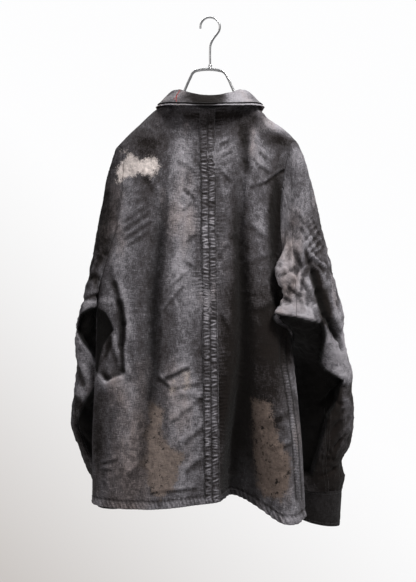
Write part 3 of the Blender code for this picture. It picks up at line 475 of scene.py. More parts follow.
def torso(side, down, front=False):
    """Outer surface of the body: down is 0 at the top edge, 1 at the armpit and 2 at the hem."""
    side, down = np.broadcast_arrays(np.clip(side, -1.0, 1.0), np.asarray(down, float))
    top_x, top_y, top_z = top_edge(side, front)
    upper = np.clip(down, 0.0, 1.0)
    roll = np.clip(upper / ROLL_SHARE, 0, 1) * math.pi / 2
    below_roll = np.clip((upper - ROLL_SHARE) / (1 - ROLL_SHARE), 0, 1)
    rolled = RIDGE_ROLL * (1 - np.cos(roll)) + (1 - RIDGE_ROLL) * below_roll
    on_shoulder = ease((np.abs(side) - 0.30) / 0.16)
    z = top_z + (ARMPIT_Z - top_z) * rolled
    middle_hem = read(HEM_LINE, section(side, -0.91 + 0 * side, front)[0])
    hem = FRONT_HEM_Z + (middle_hem - FRONT_HEM_Z) * np.abs(side) ** 6 if front else middle_hem
    z = z + (hem - ARMPIT_Z) * np.clip(down - 1, 0, 1)
    x, y = section(side, z, front)
    start_x, _ = section(side, top_z, front)
    x = x + (top_x - start_x) * (1 - ease(upper))
    spread = on_shoulder * np.sin(roll) + (1 - on_shoulder) * ease(upper * 2.5)
    y = top_y + (y - top_y) * spread
    return np.stack([x, y, z], axis=-1)


def armhole_share(down):
    """How much of the half width a panel covers, less where the armhole is cut out."""
    opening = math.radians(ARMHOLE_CUT) * np.sin(math.pi * np.clip(down, 0, 1)) ** 0.7
    return np.cos(opening) ** (2 / SIDE_ROUND)


def level_ring(sign, ring, count):
    """An oval ring whose first point is outermost and which then turns towards the back."""
    z, x, y, wide, deep, turn = ring
    angle = np.arange(count) / count * 2 * math.pi
    across = sign * wide * np.cos(angle)
    along = -deep * np.sin(angle)
    turn = math.radians(turn)
    return np.stack([x + across * math.cos(turn) - along * math.sin(turn),
                     y + across * math.sin(turn) + along * math.cos(turn),
                     np.full(count, z)], axis=-1)


def push_clear(points, sign, room):
    """Move points that would lie within the body, or nearer to it than the room given."""
    x, y, z = points[..., 0], points[..., 1], points[..., 2]
    middle = section(0 * z, z, False)[0]
    edge, centre = section(sign + 0 * z, z, False)
    half = np.abs(edge - middle) + room
    across = (x - middle) / half
    deep = np.where(y < centre, read(BACK_DEPTH, z), read(FRONT_DEPTH, z)) + room
    along = (y - centre) / deep
    size = (np.abs(across) ** SIDE_ROUND + np.abs(along) ** SIDE_ROUND) ** (1 / SIDE_ROUND)
    grow = np.maximum(1 / np.maximum(size, 0.3), 1.0)
    return np.stack([middle + across * half * grow, centre + along * deep * grow, z], axis=-1)


def grid_outward(points, closed):
    """Outward direction at each point of a grid whose columns turn left to right, rows upward."""
    if closed:
        wide = np.roll(points, -1, axis=1) - np.roll(points, 1, axis=1)
    else:
        wide = np.gradient(points, axis=1)
    return unit(np.cross(wide, np.gradient(points, axis=0)))


def smooth_grid(values, times, closed):
    """Average a grid with its neighbours, leaving its edges."""
    for _ in range(times):
        mean = values.copy()
        mean[1:-1] = (values[:-2] + values[2:] + 2 * values[1:-1]) / 4
        if closed:
            mean = (np.roll(mean, 1, axis=1) + np.roll(mean, -1, axis=1) + 2 * mean) / 4
        else:
            mean[:, 1:-1] = (mean[:, :-2] + mean[:, 2:] + 2 * mean[:, 1:-1]) / 4
        values = mean
    return values


# Making pieces

def add_piece(name, mesh, material, node=None):
    """Put a mesh in the scene as a piece of the garment, in place of a solid where one is named."""
    for face in mesh.polygons:
        face.use_smooth = True
    mesh.materials.append(material)
    piece = bpy.data.objects.new(name, mesh)
    bpy.context.scene.collection.objects.link(piece)
    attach(piece, "root")
    if node:
        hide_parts(node)
    return piece


def cloth_fields(worn_with_painted_light, painted_shade=0.0, bleach=-1.0, pale=0.0):
    """What the material reads: wear with painted light and shade, nearness to a pale place, its power,
    painted shade.
    """
    still = 0 * worn_with_painted_light
    return {"worn_with_painted_light": worn_with_painted_light, "bleach": still + bleach, "pale": still + pale, "painted_shade": still + painted_shade}


def cloth_mesh(name, points, closed, fields):
    """A sheet of quads through rows of points, with a lengthwise and crosswise map in metres."""
    rows, columns = points.shape[:2]
    if closed:
        points = np.concatenate([points, points[:, :1]], axis=1)
        fields = {key: np.concatenate([value, value[:, :1]], axis=1) for key, value in fields.items()}
        columns += 1
    bm = bmesh.new()
    bmesh.ops.create_grid(bm, x_segments=columns - 1, y_segments=rows - 1, size=1.0)
    bm.verts.ensure_lookup_table()
    flat = points.reshape(-1, 3)
    for vert, place in zip(bm.verts, flat):
        vert.co = place
    wide = np.linalg.norm(np.diff(points, axis=1), axis=-1)
    tall = np.linalg.norm(np.diff(points, axis=0), axis=-1)
    across = np.concatenate([np.zeros((rows, 1)), np.cumsum(wide, axis=1)], axis=1)
    across = across - across[:, columns // 2:columns // 2 + 1]
    along = np.concatenate([np.zeros((1, columns)), np.cumsum(tall, axis=0)], axis=0)
    weave = bm.loops.layers.uv.new("weave")
    across_flat = across.reshape(-1)
    along_flat = along.mean(axis=1, keepdims=True).repeat(columns, axis=1).reshape(-1)
    for face in bm.faces:
        for loop in face.loops:
            loop[weave].uv = (across_flat[loop.vert.index], along_flat[loop.vert.index])
    for key, value in fields.items():
        layer = bm.verts.layers.float.new(key)
        for vert, amount in zip(bm.verts, value.reshape(-1)):
            vert[layer] = amount
    if closed:
        bmesh.ops.remove_doubles(bm, verts=bm.verts, dist=1e-6)
    mesh = bpy.data.meshes.new(name)
    bm.to_mesh(mesh)
    bm.free()
    return mesh


def add_cloth(name, points, closed, fields, material, node, thickness=CLOTH):
    """A sheet with real thickness, inward from its outer points."""
    piece = add_piece(name, cloth_mesh(name, points, closed, fields), material, node)
    wall = piece.modifiers.new("thickness", "SOLIDIFY")
    wall.thickness = thickness
    wall.offset = -1.0


# Relief

def crease_relief(x, z, creases):
    """Depth at each place of creases that fade at both ends, with a small lip on the upper side."""
    sink = 0.0
    for x1, z1, x2, z2, width, depth in creases:
        length = math.hypot(x2 - x1, z2 - z1)
        along = ((x - x1) * (x2 - x1) + (z - z1) * (z2 - z1)) / length
        beside = ((x - x1) * (z2 - z1) - (z - z1) * (x2 - x1)) / length
        ends = ease((along + width) / (2 * width)) * ease((length + width - along) / (2 * width))
        sink = sink + depth * ends * np.exp(-(beside / width) ** 2)
        lip = 0.6 * min(depth, 0.0020)
        sink = sink - lip * ends * np.exp(-((beside + 1.7 * width) / (1.3 * width)) ** 2)
    return sink


def as_seen(points):
    """Where each place appears across and up the plane of the back, looked at from the camera."""
    nearer = (CAMERA_BACK + BACK_PLANE) / (CAMERA_BACK + points[..., 1])
    return CAMERA_X + (points[..., 0] - CAMERA_X) * nearer, CAMERA_Z + (points[..., 2] - CAMERA_Z) * nearer


def ladder_relief(x, z, ladders):
    """Little rungs of gathered cloth between the two stitch rows of a seam."""
    height = 0.0
    for path, strength in ladders:
        travelled = 0.0
        rungs = np.zeros(x.shape)
        for (x1, z1), (x2, z2) in zip(path, path[1:]):
            length = math.hypot(x2 - x1, z2 - z1)
            along = ((x - x1) * (x2 - x1) + (z - z1) * (z2 - z1)) / length
            beside = ((x - x1) * (z2 - z1) - (z - z1) * (x2 - x1)) / length
            within = (along >= 0) & (along < length)
            wave = np.sin((travelled + along) / LADDER_PITCH * 2 * math.pi + beside / LADDER_HALF)
            flat_top = np.exp(-(beside / LADDER_HALF) ** 4)
            edges = np.exp(-((np.abs(beside) - 1.15 * LADDER_HALF) / 0.0012) ** 2)
            rungs = np.where(within, flat_top * (0.0006 + 0.0009 * wave) - 0.0009 * edges, rungs)
            travelled += length
        height = height + strength * rungs
    return height


def polygon_depth(x, z, outline):
    """How far each place lies inside a closed outline, negative outside."""
    corners = np.array(outline)
    inside = np.zeros(x.shape, bool)
    nearest = np.full(x.shape, 9.0)
    for (x1, z1), (x2, z2) in zip(corners, np.roll(corners, -1, axis=0)):
        edge = np.array([x2 - x1, z2 - z1])
        t = np.clip(((x - x1) * edge[0] + (z - z1) * edge[1]) / (edge @ edge), 0, 1)
        nearest = np.minimum(nearest, np.hypot(x - x1 - t * edge[0], z - z1 - t * edge[1]))
        crosses = (z1 > z) != (z2 > z)
        inside ^= crosses & (x < x1 + (z - z1) * edge[0] / (edge[1] if edge[1] else 1e-9))
    return np.where(inside, nearest, -nearest)


def bleach_fields(points):
    """Nearness to the pale places and how pale they are."""
    x, z = as_seen(points)
    depth = np.full(x.shape, -0.05)
    power = np.zeros(x.shape)
    for outline, strength in zip(BLEACHED, BLEACH_AND_SHADE_POWER):
        inside = polygon_depth(x, z, outline)
        power = np.where(inside > depth, strength, power)
        depth = np.maximum(depth, inside)
    return depth * 20, power


def panel_relief(points, front):
    """Height of the small folds and crumples on a panel, outward positive."""
    x, z = as_seen(points)
    soft = 0.0013 * lattice_noise(points * (1.0, 1.0, 0.45), 0.030, 3)
    fine = 0.00065 * crumple(points * (1.0, 1.0, 0.8), 0.014, 11)
    near_seam = np.exp(-((np.abs(x - middle_at(z)) - BAND_HALF) / 0.016) ** 2)
    turn = z / PUCKER_PITCH * 2 * math.pi + 2.5 * lattice_noise(points, 0.014, 21)
    busy = ease(0.5 + 0.9 * lattice_noise(points, 0.05, 23))
    seam = 0.0010 * near_seam * np.sin(turn) * busy
    relief = soft + fine + seam
    if front:
        return relief
    return relief - crease_relief(x, z, BACK_CREASES) + ladder_relief(x, z, BACK_LADDERS)


def hem_relief(down, points):
    """The turned hem stands out a little, with the slanting ripples that sewing gives it."""
    turn = HEM_TURN / (-FRONT_HEM_Z + ARMPIT_Z)
    into_hem = (down - (2 - turn)) / turn
    raised = 0.0012 * ease(into_hem * 8 + 0.5)
    ripple = np.sin((points[..., 0] * 1.0 + points[..., 2] * 0.5) / 0.0075 * 2 * math.pi
                    + 2 * lattice_noise(points, 0.02, 31))
    groove = 0.0016 * np.exp(-(into_hem / 0.16) ** 2)
    return raised + 0.0009 * ripple * ease((into_hem + 0.6) / 0.8) - groove


def wear_with_painted_light(relief, points, fades_and_shading=()):
    """How faded the cloth is, more on ridges and less in hollows, with placed fades, painted shade and
    painted highlight.
    """
    broad = lattice_noise(points, 0.09, 41) * 0.5 + lattice_noise(points, 0.035, 43) * 0.3
    raised = relief / 0.0012
    seen_x, seen_z = as_seen(points)
    # Placed patches: some are fading, the rest painted shade under the collar and sleeves and painted
    # highlight on lit ridges
    placed = 0.0
    for x, z, across, down, amount in fades_and_shading:
        placed = placed + amount * np.exp(-((seen_x - x) / across) ** 2 - ((seen_z - z) / down) ** 2)
    return np.clip(0.5 + 0.20 * broad + 0.20 * np.clip(raised, -1.8, 1.8) + placed, -0.5, 1.6)


def panel_down_rows():
    """Rows of a panel from hem to top, about as far apart as the fine pitch."""
    return np.concatenate([np.linspace(2, 1, PANEL_LOWER_ROWS), np.linspace(1, 0, PANEL_UPPER_ROWS)[1:]])


def make_panel(name, node, sign, front, material):
    """One fine panel of the body."""
    shares = np.sort(np.linspace(0, 1, PANEL_COLUMNS // 2 if front else PANEL_COLUMNS) * sign)
    side, down = np.meshgrid(shares, panel_down_rows()[::3 if front else 1])
    side = side * armhole_share(down)
    points = torso(side, down, front)
    outward = unit(smooth_grid(grid_outward(points, False) * (-1 if front else 1), 2, False))
    relief = panel_relief(points, front)
    at_edges = ease(down / 0.10) * ease((1 - np.abs(side)) / 0.02 + 0.25)
    relief = relief * at_edges + hem_relief(down, points)
    points = ease_shoulders(points + outward * relief[..., None])
    if front:
        points = points[:, ::-1]
        relief = relief[:, ::-1]
        outward = outward[:, ::-1]
        fields = cloth_fields(wear_with_painted_light(relief, points))
    else:
        depth, power = bleach_fields(points)
        x, z = as_seen(points)
        hollow = hollow_depth(x, z, BACK_HOLLOWS)
        points[..., 1] += hollow
        # Painted shade, darkest in the two deep folds, the creases, the grooves beside the gathered seam and
        # the hollow under the left sleeve
        shades = (0.74 * np.clip(back_folds(points[..., 0], points[..., 2]) / 0.019, 0, 1),
                  np.clip(crease_relief(x, z, BACK_CREASES) / 0.006, 0, 0.8),
                  0.8 * np.clip(-ladder_relief(x, z, BACK_LADDERS) / 0.0007, 0, 1),
                  1.2 * hollow / 0.006)
        fields = cloth_fields(wear_with_painted_light(relief, points, BACK_FADES_AND_SHADING), np.max(shades, axis=0), depth, power)
    add_cloth(name, points, False, fields, material, node)
    return [(points[row], outward[row]) for row in (FRONT_HEM_ROWS if front else BACK_HEM_ROWS)]


def ease_shoulders(points):
    """Lift the cloth a little between the neck and the points of the shoulders, where it has stretched."""
    x, z = points[..., 0], points[..., 2]
    lift = 0.0
    for place, across, height in SHOULDER_LIFTS:
        lift = lift + height * np.exp(-((x - place) / across) ** 2)
    points[..., 2] += lift * ease((z + 0.40) / 0.20)
    return points


def hollow_depth(x, z, hollows):
    """How far each place is drawn in, under the overhanging folds."""
    total = 0.0
    for outline, depth, soft in hollows:
        total = total + depth * ease(polygon_depth(x, z, outline) / soft + 0.3)
    return total


def armhole_loop(sign, steps):
    """Points round an armhole, down the back edge and up the front."""
    downs = np.linspace(0, 1, steps + 1)
    side = sign * armhole_share(downs)
    back = torso(side, downs)
    front = torso(side, downs, front=True)
    return np.concatenate([back, front[-2:0:-1]])


def hang_over(row, share):
    """Draw a fold of the right sleeve inward over the body, by a share of its full reach."""
    angle = np.arange(len(row)) / len(row) * 360
    round_share = ease(1 - np.abs(angle - OVERHANG_TURN) / OVERHANG_WIDTH)
    reach = share * read(OVERHANG, row[:, 2]) * round_share
    return row + np.stack([-reach, -0.3 * reach, 0 * reach], axis=-1)


def sleeve_points(sign, rings, shape):
    """Rows of a sleeve from its cuff end up to the armhole, columns turning from left to right."""
    loop = armhole_loop(sign, ROUND_STEPS // 2)
    first = level_ring(sign, rings[0], ROUND_STEPS)
    bulge, waist = shape
    outer_share = 0.5 + 0.5 * np.cos(np.arange(ROUND_STEPS) / ROUND_STEPS * 2 * math.pi)
    rows = []
    for step in np.linspace(0, 1, UPPER_ROWS + 1)[:-1]:
        puff = (bulge * outer_share + SEAM_SWELL * (1 - outer_share)) * math.sin(math.pi * step ** 0.6)
        puff = sign * (puff - waist * outer_share * math.sin(math.pi * step ** 2))
        row = loop + (first - loop) * step
        row[:, 0] += puff
        row = row + (push_clear(row, sign, BODY_ROOM * step) - row) * ease(step / 0.4)
        rows.append(hang_over(row, ease((step - 0.1) / 0.4)) if sign > 0 else row)
    table = sorted(rings)
    for z in np.arange(rings[0][0], rings[-1][0] - FINE / 2, -FINE):
        ring = (z, *(float(read(table, z, column)) for column in range(1, 6)))
        row = push_clear(level_ring(sign, ring, ROUND_STEPS), sign, BODY_ROOM)
        rows.append(hang_over(row, 1.0) if sign > 0 else row)
    rows = np.array(rows[::-1])
    return rows[:, ::-1] if sign > 0 else rows


def make_sleeve(name, sign, rings, shape, creases, hollows, ladders, fades_and_shading, material):
    """One fine sleeve of two halves, crumpled at the elbow."""
    points = sleeve_points(sign, rings, shape)
    count = points.shape[1]
    seams = (round(BACK_SEAM * count), round(FRONT_SEAM * count))
    if sign > 0:
        seams = (count - 1 - seams[1], count - 1 - seams[0])
    outward = unit(smooth_grid(grid_outward(points, True), 3, True))
    facing_back = ease(0.5 - outward[..., 1] * 1.6)
    x, z = points[..., 0], points[..., 2]
    bent = ease((z + 0.66) / 0.06) * ease((-0.40 - z) / 0.06)
    low = ease((-0.62 - z) / 0.1)
    creased = crease_relief(x, z, creases)
    crushed = 0.0006 + 0.0013 * bent + 0.0006 * low
    relief = 0.0016 * lattice_noise(points, 0.034, 5) + crushed * crumple(points, 0.016, 51)
    relief += 0.0005 * crumple(points, 0.008, 57)
    relief -= creased * facing_back
    relief -= crease_relief(x + 0.012, z + 0.03, creases) * (1 - facing_back)
    relief += ladder_relief(x, z, ladders) * facing_back
    seam = ease(np.linspace(1, 0, len(points)) / 0.02)[:, None]
    relief = relief * seam
    hollow = hollow_depth(x, z, hollows)
    # Painted shade in the hollows under the overhanging folds and in the deepest creases, on the side facing
    # the back
    shades = (1.3 * np.clip(hollow / 0.012, 0, 1) * seam, 0.9 * np.clip((creased - 0.0035) / 0.006, 0, 1))
    points = ease_shoulders(points + outward * relief[..., None])
    points[..., 1] += hollow * facing_back * seam
    depth, power = bleach_fields(points)
    near_back = ease(1.0 - outward[..., 1] * 1.6)
    fields = cloth_fields(wear_with_painted_light(relief, points, fades_and_shading), np.maximum(*shades) * near_back,
                          np.where(facing_back > 0.5, depth, -1), power)
    under = np.arange(seams[0], seams[1] + 1)
    top = np.arange(seams[1], seams[0] + count + 1) % count
    for half, columns in (("under", under), ("top", top)):
        add_cloth(f"{name}_{half}_cloth", points[:, columns], False,
                  {key: value[:, columns] for key, value in fields.items()}, material, f"{name}_{half}")
    forearm = points[:, 0, 2] < SLIT_STITCHES_TOP
    beside_seams = [column + step for column in seams for step in (-2, 2)]
    return [(points[forearm, column], outward[forearm, column]) for column in beside_seams]


def make_cuff(name, node, sign, cuff, material):
    """A round cuff; the right one's end slants."""
    top, bottom, wide, deep = cuff
    rows = []
    for step in np.linspace(1, 0, CUFF_ROWS):
        middle = [b + (t - b) * (1 - step) for t, b in zip(top, bottom)]
        rows.append(level_ring(sign, (middle[2], middle[0], middle[1], wide, deep, 0.0), CUFF_STEPS))
    points = np.array(rows)
    if sign > 0:
        points = points[:, ::-1]
    down = np.linspace(1, 0, CUFF_ROWS)[:, None]
    points[..., 2] += CUFF_SLANT * down * (top[0] - points[..., 0]) * (sign > 0)
    outward = points - points.mean(axis=1, keepdims=True)
    outward[..., 2] = 0
    outward = unit(outward)
    ends = np.minimum(1 - down, down)
    relief = 0.0004 * crumple(points, 0.012, 61) - 0.0005 * np.exp(-((ends - 0.10) / 0.03) ** 2)
    points = points + outward * relief[..., None]
    # Painted shade: the whole cuff is drawn much darker, as the cuffs lie in shade below the sleeves
    fields = cloth_fields(wear_with_painted_light(relief, points) - 0.25, 0.72)
    add_cloth(name, points, True, fields, material, node, TWO_LAYERS)
    return points, outward


def fold_line(turn):
    """Top edge of the collar, where it rolls over: turn is 0 at the back and 180 at the front."""
    front = np.abs(turn) > 90
    angle = np.radians(turn)
    x = ROLL_HALF * np.sin(angle)
    y = ROLL_BACK_Y * np.cos(angle)
    z = ROLL_Z - np.where(front, ROLL_FRONT_DROP, COLLAR_DIP) * np.cos(angle) ** 2
    return np.stack([x, y, z], axis=-1)


def fall_edge(turn):
    """Lower edge of the turned-down collar."""
    front = np.abs(turn) > 90
    angle = np.radians(turn)
    x = EDGE_HALF * np.sin(angle)
    y = np.where(front, EDGE_FRONT_Y, EDGE_BACK_Y) * np.cos(angle)
    rise = np.where(front, -EDGE_FRONT_DROP, EDGE_BACK_RISE - COLLAR_DIP)
    z = EDGE_Z + rise * np.abs(np.cos(angle)) ** 2.4
    return np.stack([x, y, z], axis=-1)


def fall_points(reach):
    """The turned-down collar from its lower edge up to the roll, ending short of the edge by a share."""
    turns = np.linspace(-COLLAR_TURN, COLLAR_TURN, COLLAR_COLUMNS)
    before = ease((np.abs(turns) - 50) / 50)
    high = fold_line(turns) * np.stack([1.06 + 0.04 * before, 1.10 + 0.30 * before, 1 + 0 * before], axis=-1)
    low = fall_edge(turns)
    lift = 0.001 + 0.013 * ease((np.abs(turns) - 82) / 26)
    rows = []
    for step in np.linspace(reach, 0, COLLAR_ROWS):
        row = high + (low - high) * step
        row[:, 2] += lift * math.sin(math.pi * step ** 0.7)
        rows.append(row)
    return np.array(rows)


def make_stand(material):
    """Upright band of the collar, from the neck seam up to just under the roll."""
    shares = np.linspace(0, NECK_SHARE, 44)
    back = np.concatenate([-shares[::-1], shares[1:]])
    front = np.concatenate([-shares[1:-1], shares[-2:0:-1]])
    half = len(front) // 2
    seam = np.concatenate([torso(front[:half], 0 * front[:half], True), torso(back, 0 * back),
                           torso(front[half:], 0 * front[half:], True)])
    turns = np.degrees(np.arctan2(seam[:, 0] / NECK_HALF, -seam[:, 1] / abs(NECK_BACK_Y)))
    top = fold_line(turns)
    stand = np.array([seam + (top - seam) * step for step in np.linspace(0.02, 0.92, 14)])
    # Painted shade over the whole stand, which lies under the turned-down collar
    fields = cloth_fields(np.full(stand.shape[:2], 0.35), 0.3)
    add_cloth("collar_stand_cloth", stand, False, fields, material, "collar_stand")


def make_fall(name, node, reach, lift, material):
    """One layer of the turned-down collar: paler at its right, darker and given painted shade at its middle.
    """
    points = fall_points(reach)
    outward = grid_outward(points, False)
    relief = lift + 0.0007 * lattice_noise(points, 0.02, 71) + 0.0003 * crumple(points, 0.010, 73)
    up = np.linspace(1, 0, len(points))[:, None]
    relief = relief - 0.0005 * np.exp(-((up - 0.88) / 0.03) ** 2)
    points = points + outward * relief[..., None]
    x = points[..., 0]
    behind = points[..., 1] < 0.02
    rubbed = ease((x - 0.010) / 0.030) * behind
    greyed = ease((-0.026 - x) / 0.014) * behind
    dark = np.exp(-((x + 0.014) / 0.026) ** 2) * behind
    worn_with_painted_light = 0.30 + 0.30 * lattice_noise(points, 0.02, 75) + 0.60 * rubbed + 0.35 * greyed - 0.70 * dark
    # Painted shade along the dark middle of the collar
    shade = 0.35 * dark
    if node is None:
        worn_with_painted_light = worn_with_painted_light + 1.1 * ease((up - 0.95) / 0.03)
    else:
        # Painted shadow: a dark line along the upper layer's lower edge
        shade = np.maximum(shade, ease((up - 0.93) / 0.04))
    add_cloth(name, points, False, cloth_fields(np.clip(worn_with_painted_light, -0.3, 1.6), shade), material, node)
    return points, outward


def red_lines(fall, outward):
    """Lines of red mending down the left of the collar."""
    back = slice(50, 140)
    for top, bottom, low, high in RED_MENDING:
        path = []
        facing = []
        for row, place in zip(range(low, high), np.linspace(bottom, top, high - low)):
            across = fall[row, back, 0]
            path.append(between(place, across, fall[row, back]))
            facing.append(between(place, across, outward[row, back]))
        yield np.array(path), np.array(facing)


def strip_on(panel_points, offsets):
    """A strip along the middle of the body, on the back's or front's own points."""
    strip = np.empty((len(panel_points), len(offsets), 3))
    for row, points in enumerate(panel_points):
        order = np.argsort(points[:, 0])
        middle = points[order][np.abs(points[order][:, 0] - row_middle(points)).argmin(), 0]
        strip[row] = between(middle + offsets, points[order][:, 0], points[order])
    return strip


def row_middle(points):
    """Place across of the middle line at the height of a row."""
    return float(middle_at(points[:, 2].mean()))


def body_strip(offsets, front, pitch):
    """Points of a lengthwise strip on the middle of the body at an even pitch, from the hem up."""
    side = np.concatenate([-np.linspace(0, 0.2, 24)[::-1], np.linspace(0, 0.2, 24)[1:]])
    grid_side, grid_down = np.meshgrid(side, panel_down_rows())
    panel = torso(grid_side, grid_down, front)
    strip = strip_on(panel, offsets)
    lengths = travelled(strip.mean(axis=1))
    stations = np.arange(0, lengths[-1], pitch)
    even = np.stack([between(stations, lengths, strip[:, column]) for column in range(len(offsets))], axis=1)
    return even, stations


def make_band(material):
    """Felled centre seam, gathered up between its three rows of stitches."""
    across = np.linspace(-1, 1, 25)
    points, stations = body_strip(across * BAND_HALF, False, 0.00115)
    outward = unit(smooth_grid(grid_outward(points, False), 4, False))
    rng = np.random.default_rng(17)
    relief = np.zeros(points.shape[:2])
    for start, stop in ((-0.92, 0.02), (0.02, 0.92)):
        share = np.clip((across - start) / (stop - start), 0, 1)
        hump = np.sin(math.pi * share) ** 0.8
        spots = np.cumsum(rng.uniform(0.5, 1.3, MOST_PUCKERS)) * PUCKER_PITCH
        tilt = rng.uniform(-0.0024, 0.0024, MOST_PUCKERS)
        size = rng.uniform(0.40, 1.20, MOST_PUCKERS)
        for spot, lean, big in zip(spots, tilt, size):
            if spot > stations[-1]:
                break
            beside = (stations[:, None] - spot - lean * (share - 0.5)[None, :] * 2) / (0.22 * PUCKER_PITCH)
            relief += PUCKER_RISE * big * hump[None, :] * np.exp(-beside ** 2)
    relief *= ease((BAND_START_Z - points[..., 2]) / 0.03)
    stitched = np.exp(-((np.abs(across) - 0.92) / 0.05) ** 2) + np.exp(-((across - 0.02) / 0.05) ** 2)
    relief += BAND_RAISE - 0.0005 * stitched[None, :]
    relief += 0.0003 * lattice_noise(points, 0.006, 81)
    points = points + outward * relief[..., None]
    piping = 0.35 * (np.abs(across) > 0.97)
    # Painted shade in the gaps between the puckers, fading in below the top of the band
    shaded = 0.5 * ease((BAND_START_Z - 0.03 - points[..., 2]) / 0.06)
    rubbed = 0.34 + (relief - BAND_RAISE) / 0.0011 * 0.50 + piping[None, :]
    worn_with_painted_light = np.clip(rubbed + 0.2 * lattice_noise(points, 0.04, 85), -0.3, 1.3)
    fields = cloth_fields(worn_with_painted_light, shaded * np.clip(1 - (relief - 0.0010) / 0.0005, 0, 1))
    add_cloth("centre_seam_band", points, False, fields, material, "back_seam")
    return [(points[:, column], outward[:, column]) for column in (1, 12, 23)]


def make_placket(material):
    """Sewn-on strip over the meeting edges of the fronts."""
    across = np.linspace(-1, 1, 15)
    points, _ = body_strip(across * PLACKET_HALF, True, 0.003)
    outward = -unit(smooth_grid(grid_outward(points, False), 3, False))
    stitched = np.exp(-((np.abs(across) - 0.8) / 0.08) ** 2)
    relief = PLACKET_RAISE + 0.0004 * crumple(points, 0.012, 83) - 0.0004 * stitched
    points = (points + outward * relief[..., None])[:, ::-1]
    outward = outward[:, ::-1]
    fields = cloth_fields(wear_with_painted_light(relief - PLACKET_RAISE, points))
    add_cloth("front_placket_cloth", points, False, fields, material, "front_placket", TWO_LAYERS)
    rows = [(points[:, column], outward[:, column]) for column in (1, 13)]
    return rows, points[:, 7], outward[:, 7]


def stitch_mesh(bm, path, outward, pitch, long, thick):
    """A row of stitches along a path, each a small rounded bead lying on the cloth."""
    lengths = travelled(path)
    for place in np.arange(pitch / 2, lengths[-1], pitch):
        centre = between(place, lengths, path)
        ahead = between(place + long / 2, lengths, path)
        up = between(place, lengths, outward)
        along = Vector(ahead - centre).normalized()
        beside = along.cross(Vector(up)).normalized()
        top = beside.cross(along)
        turn = Matrix((along * long / 2, beside * thick / 2, top * thick / 2)).transposed().to_4x4()
        turn.translation = Vector(centre + up * thick * 0.25)
        bmesh.ops.create_icosphere(bm, subdivisions=1, radius=1.0, matrix=turn)


def finished_mesh(name, bm):
    """The mesh of a bmesh, with its faces turned outward."""
    bmesh.ops.recalc_face_normals(bm, faces=bm.faces)
    mesh = bpy.data.meshes.new(name)
    bm.to_mesh(mesh)
    bm.free()
    return mesh


def turned(profile, steps):
    """A round piece turned from its half section."""
    bm = bmesh.new()
    verts = [bm.verts.new((radius, 0, height)) for radius, height in profile]
    edges = [bm.edges.new(pair) for pair in zip(verts, verts[1:])]
    bmesh.ops.spin(bm, geom=verts + edges, cent=(0, 0, 0), axis=(0, 0, 1), angle=2 * math.pi, steps=steps,
                   use_merge=True)
    bmesh.ops.remove_doubles(bm, verts=bm.verts, dist=1e-5)
    return bm


def make_stitches(name, rows, material, pitch=STITCH_PITCH, long=STITCH_LONG, thick=STITCH_THICK):
    """One piece of thread from all the stitch rows given."""
    bm = bmesh.new()
    for path, outward in rows:
        stitch_mesh(bm, path, outward, pitch, long, thick)
    return add_piece(name, finished_mesh(name, bm), material)


# Materials

def new_material(name):
    """A material with its node tree and its surface shader."""
    material = bpy.data.materials.new(name)
    material.use_nodes = True
    return material, material.node_tree, material.node_tree.nodes["Principled BSDF"]


def node(tree, kind, **settings):
    """A new node, with sockets and settings given by name."""
    made = tree.nodes.new(kind)
    for key, value in settings.items():
        if key in made.inputs:
            made.inputs[key].default_value = value
        else:
            setattr(made, key, value)
    return made


def feed(tree, socket, value):
    """Give a socket a number, a colour or what another node puts out."""
    if isinstance(value, (int, float)):
        socket.default_value = value
    elif isinstance(value, tuple):
        socket.default_value = (*value, 1.0)
    else:
        tree.links.new(value, socket)


def math_node(tree, operation, first, second):
    """The result of one sum of two values."""
    made = node(tree, "ShaderNodeMath", operation=operation)
    for socket, value in zip(made.inputs, (first, second)):
        feed(tree, socket, value)
    return made.outputs[0]


def mix_colour(tree, factor, first, second, blend="MIX"):
    """Two colours blended by a factor."""
    made = node(tree, "ShaderNodeMix", data_type="RGBA", blend_type=blend)
    for socket, value in zip((made.inputs[0], made.inputs[6], made.inputs[7]), (factor, first, second)):
        feed(tree, socket, value)
    return made.outputs[2]


def noise_at(tree, vector, scale, detail=3.0, roughness=0.55, stretch=None):
    """Noise read from a vector, stretched along its axes where asked."""
    if stretch:
        mapping = tree.nodes.new("ShaderNodeMapping")
        mapping.inputs["Scale"].default_value = stretch
        tree.links.new(vector, mapping.inputs["Vector"])
        vector = mapping.outputs["Vector"]
    noise = node(tree, "ShaderNodeTexNoise", Scale=scale, Detail=detail, Roughness=roughness)
    tree.links.new(vector, noise.inputs["Vector"])
    return noise.outputs["Fac"]


def add_weighted(tree, start, parts):
    """A start value with the sum of parts, each as a socket, its weight and its middle value."""
    total = start - sum(weight * middle for _, weight, middle in parts)
    for socket, weight, _ in parts:
        total = math_node(tree, "ADD", math_node(tree, "MULTIPLY", socket, weight), total)
    return total


def ramp(tree, value, stops):
    """A value turned into grey between two stops, each a place and a grey."""
    made = tree.nodes.new("ShaderNodeValToRGB")
    for element, (place, grey) in zip(made.color_ramp.elements, stops):
        element.position = place
        element.color = (grey, grey, grey, 1)
    tree.links.new(value, made.inputs["Fac"])
    return made.outputs["Color"]


def where_on(tree):
    """Place on a piece, in metres from the hook."""
    return node(tree, "ShaderNodeTexCoord").outputs["Object"]


def set_rough(tree, surface, value, low, high):
    """Roughness between two amounts, by a value from 0 to 1."""
    rough = node(tree, "ShaderNodeMapRange")
    rough.inputs["To Min"].default_value = low
    rough.inputs["To Max"].default_value = high
    tree.links.new(value, rough.inputs["Value"])
    tree.links.new(rough.outputs[0], surface.inputs["Roughness"])


